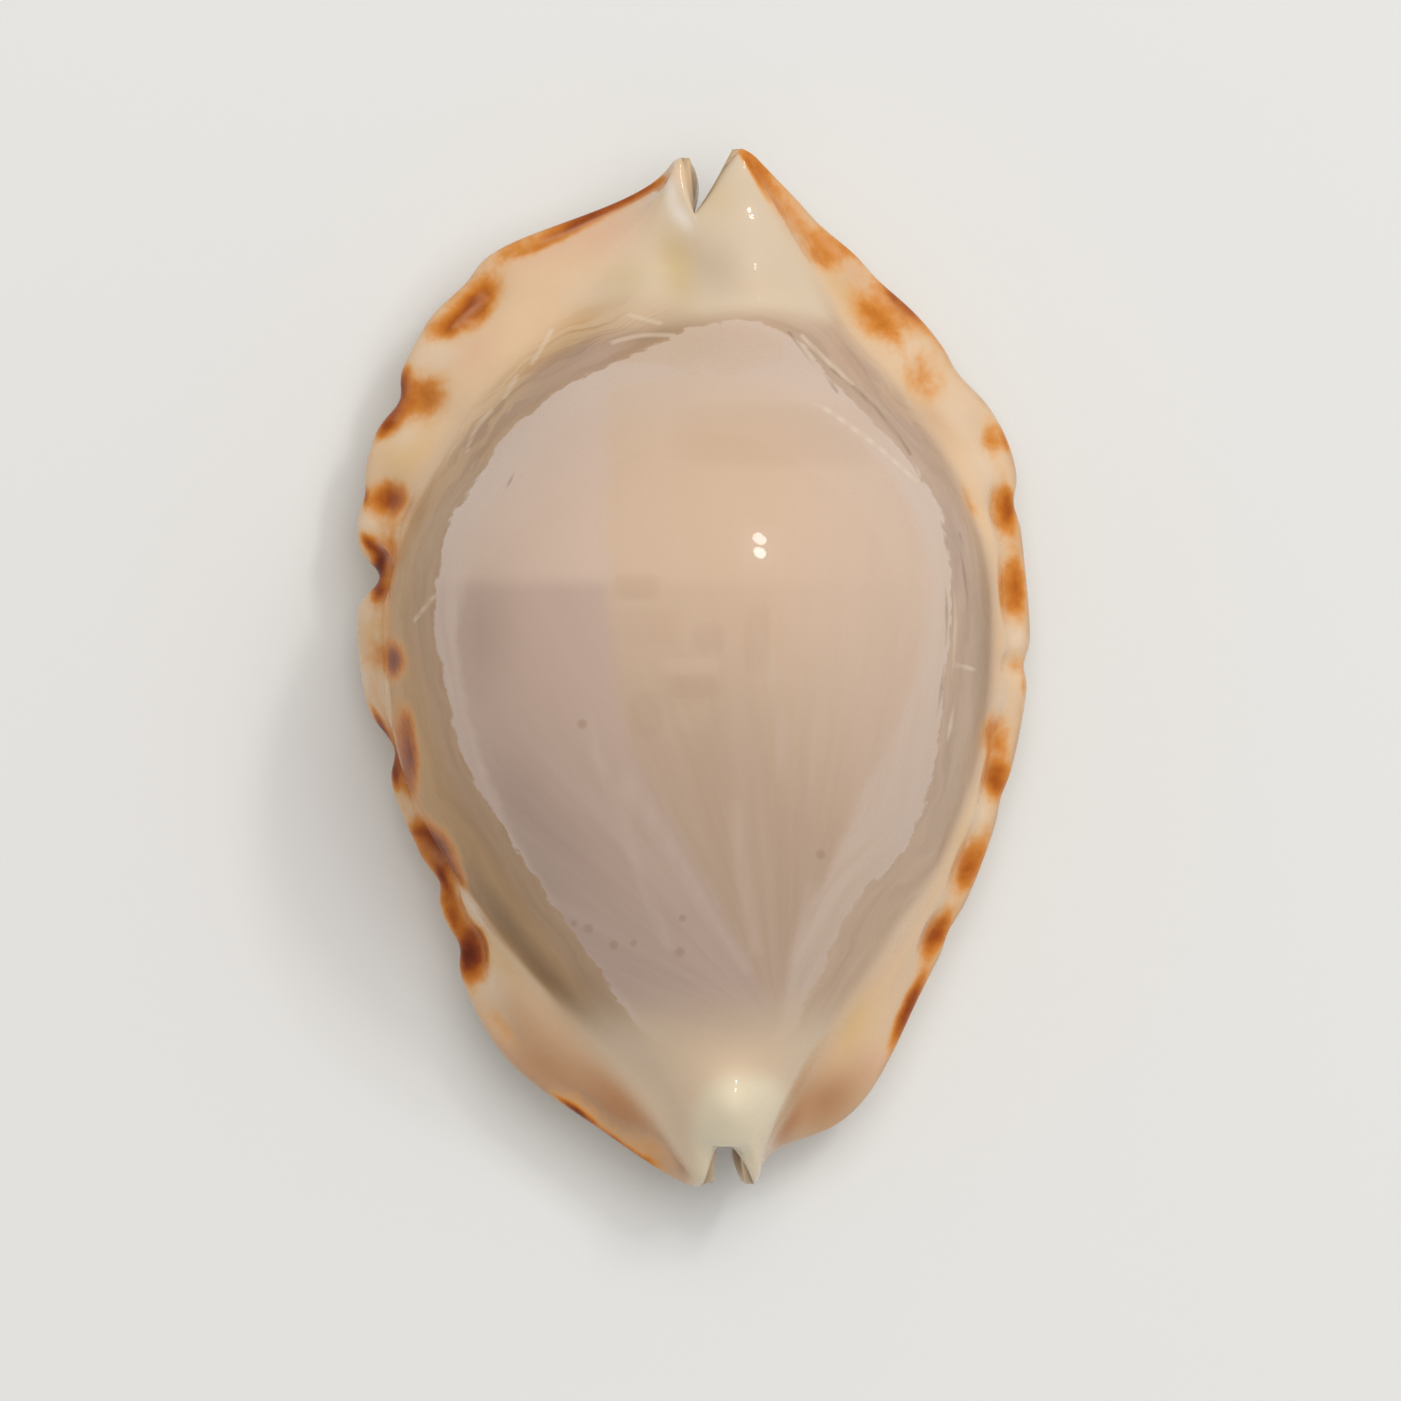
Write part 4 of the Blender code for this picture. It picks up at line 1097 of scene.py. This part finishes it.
# The dark paint draws dark lines of growth, and painted shade in the groove and low on the ring.
DARK_LINES_AND_SHADE, STRAND_CREAM = paint(124, 92, 60), paint(220, 190, 150)
LILAC_COAT, DEEP_LILAC = paint(192, 164, 148), paint(164, 138, 124)
ROSE_COAT, PALE_BAND = paint(212, 185, 165), paint(212, 188, 170)
TAN_COAT, SHADED_TAN = paint(212, 182, 154), paint(192, 163, 138)
SPIRE_COAT, OLIVE_COAT = paint(218, 197, 170), paint(204, 176, 116)
TUBE_COAT, CANAL_COAT = paint(230, 215, 185), paint(219, 193, 163)
RIM_COAT, RIM_WHITE = paint(176, 112, 58), paint(234, 224, 210)
RIDGE_GLAZE_AND_HIGHLIGHT, FRECKLE = paint(226, 164, 118), paint(150, 120, 88)
STAIN_TONES = [(0.08, paint(230, 190, 134)), (0.28, paint(226, 156, 80)),
               (0.48, paint(204, 120, 28)), (0.7, paint(160, 70, 4)), (0.95, paint(84, 18, 2))]
STAIN_EDGE = (0.08, 0.42)                   # thickness where a stain begins, and covers
UNDER_STAIN = 0.45                          # how thick stains are under the shell
# Freckles of the back: x, y, radius.
FRECKLES = [(-6.1, -3.1, 0.26), (-5.8, -14.4, 0.26), (-4.4, -15.3, 0.24), (-3.3, -15.2, 0.18),
            (-0.75, -15.7, 0.26), (-0.6, -13.8, 0.2), (7.0, -10.3, 0.26), (-6.6, -14.1, 0.18)]
FRECKLE_STRENGTH, FRECKLE_SOFTNESS = 0.35, 0.9
# Faint bands of the wedge: x, y, half width, half height, how much darker.
BANDS = [(5.0, 12.8, 5.5, 1.7, 0.07), (-3.1, 4.4, 1.2, 0.7, 0.08), (-2.6, 2.2, 1.9, 1.0, 0.04),
         (0.8, 1.6, 0.9, 0.8, 0.06), (0.1, -1.1, 1.4, 0.6, 0.07), (-2.6, -2.6, 0.9, 1.2, 0.06),
         (3.5, 1.6, 0.7, 1.8, 0.06), (-0.2, -2.8, 0.9, 0.7, -0.04), (-0.2, 0.1, 1.6, 0.4, -0.05)]
BAND_SQUARENESS, BAND_SOFTNESS = 4.0, 1.3
BAND_TINT = (0.8, 1.0, 1.2)                 # a band darkens red least and blue most
CANAL_ZONE = (-17.0, -21.5)                 # y where the dome turns into the canal's coat
TO_RIGHT = (-2.0, 8.0)                      # x where marks of the right side come up
print(len(STAIN_TONES), "tones of stain,", len(FRECKLES), "freckles,", len(BANDS), "bands")

# %% Coats of the flange and the base
class Here(dict):
    """What a material can ask at a point: its place in millimetres as a vector and as
    x and y, and by name every number that the mesh carries."""

    def __init__(self, tree):
        self.tree = tree
        source = add("ShaderNodeTexCoord", {}, tree)["Object"]
        scaled = add("ShaderNodeVectorMath", {0: source, "Scale": 1 / MM}, operation="SCALE")[0]
        parts = add("ShaderNodeSeparateXYZ", {0: scaled})
        super().__init__(place=scaled, x=parts[0], y=parts[1])

    def __missing__(self, name):
        self[name] = add("ShaderNodeAttribute", {}, self.tree, attribute_name=name)["Fac"]
        return self[name]


def swing(here, size, scale, detail=2.0, roughness=0.5):
    """Noise to both sides of 0, over that size in all."""
    return noise(here["place"], scale, detail, roughness) * size - size / 2


def shaded(here, coat, **drifting):
    """A coat whose shade drifts over the surface."""
    shade = placed(drift, Position=here["place"], **drifting)["Shade"]
    return blend(1.0, coat, vector(shade, shade, shade), "MULTIPLY")


def flange_coat(here):
    """Cream glaze with honey, pink, brown and white stretches, some brown painted shade."""
    coat = CREAM
    for name, over in (("honey", HONEY_COAT), ("blush", PINK_COAT), ("tawny_and_shade", TAWNY_AND_SHADE),
                       ("milk", WHITE_COAT)):
        coat = blend(here[name], coat, over)
    return shaded(here, coat, Size=2.2, Amount=0.05)


def base_coat(here, coat):
    """Ivory glaze under the shell, whiter on the teeth and tan between them."""
    wave = maths("COSINE", (here["along"] - RIM_SHARE) * (2 * np.pi / TOOTH_PITCH))
    gap = step(wave, 0.2, -0.8) * step(here["lip"], 0.25, 0.9)
    coat = blend(here["under"] * 0.75, coat, IVORY)
    coat = blend(step(here["lip"], 0.0, 0.8), coat, TOOTH_COAT)
    return blend(gap * 0.6, coat, GAP_COAT)


# %% Coats of the dome
def lower_coat_and_shade(here, coat):
    """The older ring round the dome's foot, partly painted shade, with its fine lines and
    strands.
    """
    wander = noise(here["place"], 0.25) * 1.6 + here["glaze_gap"]
    lines = placed(growth, Across=wander, Along=here["along"], Lines=1.5, Length=7.0,
                   Sharpness=0.2)["Line"]
    threads = placed(growth, Across=wander, Along=here["along"], Lines=2.3, Length=11.0,
                     Sharpness=0.75)["Line"]
    ring = INNER_RING
    for amount, over in ((step(here["glaze_gap"], -0.6, -2.2), OUTER_RING),
                         (step(here["x"], *TO_RIGHT, 0.0, 0.8), RIGHT_RING),
                         (here["mauve"], MAUVE_COAT),
                         (lines * 0.22, DARK_LINES_AND_SHADE),
                         (here["strand"] * threads * 0.85, STRAND_CREAM),
                         # Painted shade, partly brown, in the groove and on the ring's flanks.
                         (here["shade_and_brown"], DARK_LINES_AND_SHADE),
                         (step(here["y"], *CANAL_ZONE), CANAL_COAT)):
        ring = blend(amount, ring, over)
    return blend(here["dome"], coat, ring)


def last_coat_and_reflection(here):
    """Lilac on the left and the tan wedge on the right, paler at the top and partly painted
    reflection.
    """
    wobble = swing(here, 0.8, 0.9, 3.0)
    low = step(wobble * 0.4 + here["y"], 5.3, 4.0)
    lilac = blend(low * 0.75, ROSE_COAT, LILAC_COAT)
    lilac = blend(here["violet"], lilac, DEEP_LILAC)
    # Painted shade: the tan darkens towards the front of the dome.
    deep = step(here["y"], 4.0, -6.0) * 0.6 + low * 0.3
    tan = blend(deep * step(here["wedge_gap"], 5.0, 11.0, 1.0, 0.6), TAN_COAT, SHADED_TAN)
    tan = blend(step(here["wedge_gap"], 8.0, 14.0, 0.0, 0.5), tan, ROSE_COAT)
    top = step(here["y"], 12.0, 17.5) * 0.6
    lilac, tan = (blend(top, coat, PALE_BAND) for coat in (lilac, tan))
    return blend(step(here["wedge_gap"] + wobble, -0.6, 0.7), lilac, tan)


def upper_coat_and_reflection(here):
    """The last coat and its painted reflection, with the wedge's bands, growth rays and pale
    streaks.
    """
    coat = last_coat_and_reflection(here)
    for across, up, half_width, half_height, darker in BANDS:
        mask = placed(patch, Position=here["place"], Across=across, Up=up,
                      Half_Width=half_width, Half_Height=half_height,
                      Squareness=BAND_SQUARENESS, Softness=BAND_SOFTNESS)["Mask"]
        toned = tuple(1 - darker * part for part in BAND_TINT) + (1.0,)
        coat = blend(mask, coat, blend(1.0, coat, toned, "MULTIPLY"))

    out, up = here["x"] - RAY_CENTRE[0], here["y"] - RAY_CENTRE[1]
    angle, reach = maths("ARCTAN2", out, up), maths("SQRT", out * out + up * up)
    rays = placed(growth, Across=angle, Along=reach, Lines=9.0, Length=0.05,
                  Sharpness=0.35)["Line"]
    fine = placed(growth, Across=angle, Along=reach, Lines=26.0, Length=0.1,
                  Sharpness=0.1)["Line"]
    strength = step(reach, 34.0, 8.0, 0.03, 0.2)
    coat = blend(rays * strength, coat, PALE_BAND)
    coat = blend(fine * (strength * 0.6), coat, DEEP_LILAC)
    return blend(step(here["streak_gap"], 0.6, 0.05) * 0.28, coat, PALE_BAND)


def banded(here, coat, jag):
    """The pale band along the last coat's edge, fainter at the top."""
    lines = placed(growth, Across=here["glaze_gap"], Along=here["along"], Lines=1.6,
                   Length=6.0, Sharpness=0.3)["Line"]
    band = step(jag * 0.7 + here["band_gap"], 0.3, -0.35) * step(lines, 0.0, 1.0, 0.6, 0.95)
    return blend(band * step(here["y"], 9.0, 15.0, 0.85, 0.4), coat, PALE_BAND)


def stroked(here, coat):
    """Dark and pale growth lines by the last coat's edge, and one painted highlight on a scratch.
    """
    coat = blend(step(here["dark_gap"], 0.17, 0.03) * 0.42, coat, DARK_LINES_AND_SHADE)
    return blend(step(here["pale_gap"], 0.2, 0.03) * 0.5, coat, WHITE_COAT)


# %% Stains
def stained(here, coat):
    """Orange to dark brown where the stain is thick, on whatever lies under it."""
    thick = here["stain"] + swing(here, 0.3, 1.3, 3.0, 0.6)
    thick = thick * step(here["under"], 0.0, 1.0, 1.0, UNDER_STAIN)
    tone = add("ShaderNodeValToRGB", {0: thick})["Color"]
    ramp = tone.socket.node.color_ramp
    ramp.interpolation = "B_SPLINE"
    for at, _ in STAIN_TONES[2:]:
        ramp.elements.new(at)
    for element, (at, colour) in zip(ramp.elements, STAIN_TONES):
        element.position, element.color = at, colour
    coat = blend(step(thick, *STAIN_EDGE), coat, tone)
    # A painted highlight along the folds, partly pink glaze.
    return blend(here["ridge"] * 0.45, coat, RIDGE_GLAZE_AND_HIGHLIGHT)


# %% The glaze, put together
GLAZE_IOR, GLAZE_SPECULAR = 1.5, 0.12
GLAZE_ROUGHNESS, RING_ROUGHER = 0.28, 0.2   # the older ring is duller
COAT_WEIGHT, RING_COAT_WEIGHT, COAT_ROUGHNESS = 0.4, 0.08, 0.035
GLAZE_EDGE, GLAZE_JAG = 0.07, 1.1           # the last coat's edge: half width and jags, mm
DULL_ZONE = (-21.5, -18.0)                  # y where the ring's dullness comes in


def bump(height, strength, depth):
    """The normal of a surface with a faint waviness of that depth in millimetres."""
    feeds = {"Height": height, "Strength": strength, "Distance": depth * MM}
    return add("ShaderNodeBump", feeds)[0]


def make_glaze(material):
    """Porcelain glaze of the outside."""
    material.use_nodes = True
    here = Here(material.node_tree)
    jag = swing(here, GLAZE_JAG, 0.75, 5.0, 0.62)
    glaze_gap = here["glaze_gap"] + jag

    lower = lower_coat_and_shade(here, flange_coat(here))
    upper = banded(here, upper_coat_and_reflection(here), jag)
    for across, up, radius in FRECKLES:
        mask = placed(patch, Position=here["place"], Across=across, Up=up,
                      Half_Width=radius, Half_Height=radius,
                      Softness=FRECKLE_SOFTNESS)["Mask"]
        upper = blend(mask * FRECKLE_STRENGTH, upper, FRECKLE)
    upper = blend(step(here["y"], *CANAL_ZONE), upper, CANAL_COAT)
    # Inside the edge the lilac coat and its painted reflection, outside it the ring and its
    # painted shade.
    on_dome = step(glaze_gap, -GLAZE_EDGE, GLAZE_EDGE) * here["dome"]
    coat = stroked(here, blend(on_dome, lower, upper))

    spire = blend(here["honey"], SPIRE_COAT, OLIVE_COAT)
    coat = blend(here["spire"], coat, blend(here["milk"], spire, RIM_WHITE))
    coat = blend(here["tube"], coat, TUBE_COAT)
    patchy = here["rim"] * step(noise(here["place"], 0.35), 0.3, 0.6)
    coat = blend(patchy * step(here["x"], *TO_RIGHT, 0.15, 0.55), coat, RIM_COAT)
    coat = stained(here, base_coat(here, coat))

    poured = placed(gloss, Position=here["place"], Roughness=GLAZE_ROUGHNESS, Wave_Size=1.6)
    dull = (here["dome"] * step(glaze_gap, GLAZE_EDGE, -GLAZE_EDGE)
            * step(here["y"], *DULL_ZONE))
    feed(material.node_tree.nodes["Principled BSDF"], {
        "Base Color": coat,
        "Roughness": dull * RING_ROUGHER + poured["Roughness"],
        "Coat Weight": step(dull, 0.0, 1.0, COAT_WEIGHT, RING_COAT_WEIGHT),
        "Coat Roughness": COAT_ROUGHNESS,
        "IOR": GLAZE_IOR, "Specular IOR Level": GLAZE_SPECULAR,
        "Normal": bump(poured["Height"], 0.25, 0.03)})
    arranged(material.node_tree)


make_glaze(glaze)
print("glaze:", len(glaze.node_tree.nodes), "nodes")

# %% [markdown]
# ## The lining
#
# Inside, where the snail lived, there is no mantle glaze. The wall is a thin, smooth,
# bluish-white layer with faint lines across it, duller than the outside. It shows only
# through the slit and the canals, but a part is seen from all sides, so it has its own
# finish.

# %% The lining, put together
LINING_COAT, LINING_LINES = paint(216, 204, 196), paint(186, 168, 168)
MOUTH_COAT = paint(214, 184, 146)           # in the two canals
MOUTH_START, MOUTH_FULL = 0.09, 0.04        # shares of the length, from either end
LINING_ROUGHNESS = 0.35


def make_lining(material):
    """Smooth pale layer of the cavity."""
    material.use_nodes = True
    here = Here(material.node_tree)
    along = here["along"]
    lines = placed(growth, Across=along, Along=here["x"], Lines=60.0, Length=0.15,
                   Sharpness=0.2)["Line"]
    coat = blend(lines * 0.35, LINING_COAT, LINING_LINES)
    mouth = (step(along, MOUTH_START, MOUTH_FULL)
             + step(along, 1 - MOUTH_START, 1 - MOUTH_FULL))
    coat = blend(mouth, coat, MOUTH_COAT)
    poured = placed(gloss, Position=here["place"], Roughness=LINING_ROUGHNESS, Wave_Size=3.0)
    feed(material.node_tree.nodes["Principled BSDF"], {
        "Base Color": shaded(here, coat, Size=5.0, Amount=0.08),
        "Roughness": poured["Roughness"], "IOR": GLAZE_IOR,
        "Normal": bump(poured["Height"], 0.2, 0.05)})
    arranged(material.node_tree)


make_lining(lining)
print("lining:", len(lining.node_tree.nodes), "nodes")

# %% [markdown]
# ## Floor, light and camera
#
# The shell lies on a sheet of pale paper. A glossy dome mirrors the whole room, so the
# room is kept plain: an even pale sky, one large soft lamp that isn't seen in
# reflections, and two small ones that are, for the wet-looking glints. A lamp shows on a
# glossy surface where the surface's normal points halfway between the eye and the lamp,
# and the little lamps are placed by that rule.

# %% Floor
FLOOR_REACH, FLOOR_GAP = 0.6, 0.01 * MM
PAPER, PAPER_ROUGHNESS = paint(232, 231, 228), 0.9
corners = [(-1, -1), (1, -1), (1, 1), (-1, 1)]
floor_mesh = bpy.data.meshes.new("floor")
floor_mesh.from_pydata([(FLOOR_REACH * i, FLOOR_REACH * j, -FLOOR_GAP) for i, j in corners],
                       [], [(0, 1, 2, 3)])
floor = bpy.data.objects.new("floor", floor_mesh)
bpy.context.scene.collection.objects.link(floor)
paper = bpy.data.materials.new("pale paper")
paper.use_nodes = True
feed(paper.node_tree.nodes["Principled BSDF"],
     {"Base Color": PAPER, "Roughness": PAPER_ROUGHNESS})
floor.data.materials.append(paper)

# %% Sky and lamps
SKY_LEVEL, KEY_LEVEL, GLINT_LEVEL = 0.45, 0.52, 0.1
KEY_AIM, KEY_SIZE = Vector((0.2, 0.28, 1.0)).normalized(), 0.9
GLINT_DISTANCE = 0.8
GLINTS = [(3.65, 7.0, 0.085), (3.35, 6.3, 0.075)]   # x and y in mm, and the lamp's size
world = bpy.data.worlds.new("studio")
bpy.context.scene.world = world
world.use_nodes = True
sky = world.node_tree
seen = add("ShaderNodeLightPath", {}, sky)["Is Camera Ray"]
feed(sky.nodes["Background"], {"Color": (1.0, 1.0, 1.0, 1.0),
                               "Strength": seen * (1.0 - SKY_LEVEL) + SKY_LEVEL})
arranged(sky)


def lamp_at(name, aim, distance, size, level):
    """A round lamp that lights a level surface at the origin by that share of full white."""
    lamp = bpy.data.lights.new(name, "AREA")
    lamp.shape = "DISK"
    lamp.size = size
    lamp.energy = level * np.pi ** 2 * distance ** 2 / aim.z
    holder = bpy.data.objects.new(name, lamp)
    holder.location = aim * distance
    holder.rotation_euler = aim.to_track_quat("Z", "Y").to_euler()
    bpy.context.scene.collection.objects.link(holder)
    return holder


def glint_aim(across, up):
    """Where a lamp has to be to glint, seen from above, at that place on the plan."""
    gap = np.hypot(spots[:, 0] - across, spots[:, 1] - up) - 0.05 * spots[:, 2]
    normal = shell.data.vertices[int(np.argmin(gap))].normal
    return (2 * normal.z * normal - Vector((0, 0, 1))).normalized()


lamp_at("key", KEY_AIM, 1.0, KEY_SIZE, KEY_LEVEL).visible_glossy = False
for number, (plan_x, plan_y, size) in enumerate(GLINTS):
    aim = glint_aim(plan_x, plan_y)
    lamp_at(f"glint_{number}", aim, GLINT_DISTANCE, size, GLINT_LEVEL / len(GLINTS))
    print("glint lamp towards", [round(v, 2) for v in aim])

# %% Camera
FRAME_WIDTH = 78.13 * MM                    # what the picture spans, level with the margin
CAMERA_HEIGHT, MARGIN_LEVEL = 1.2, 5 * MM
camera = bpy.data.objects.new("camera", bpy.data.cameras.new("camera"))
camera.data.sensor_width = 36
camera.data.lens = camera.data.sensor_width * (CAMERA_HEIGHT - MARGIN_LEVEL) / FRAME_WIDTH
camera.location = (0.39 * MM, -1.81 * MM, CAMERA_HEIGHT)
bpy.context.scene.collection.objects.link(camera)
bpy.context.scene.camera = camera
bpy.context.scene.view_settings.view_transform = "Standard"
print("lens of", round(camera.data.lens), "mm at", CAMERA_HEIGHT, "m")
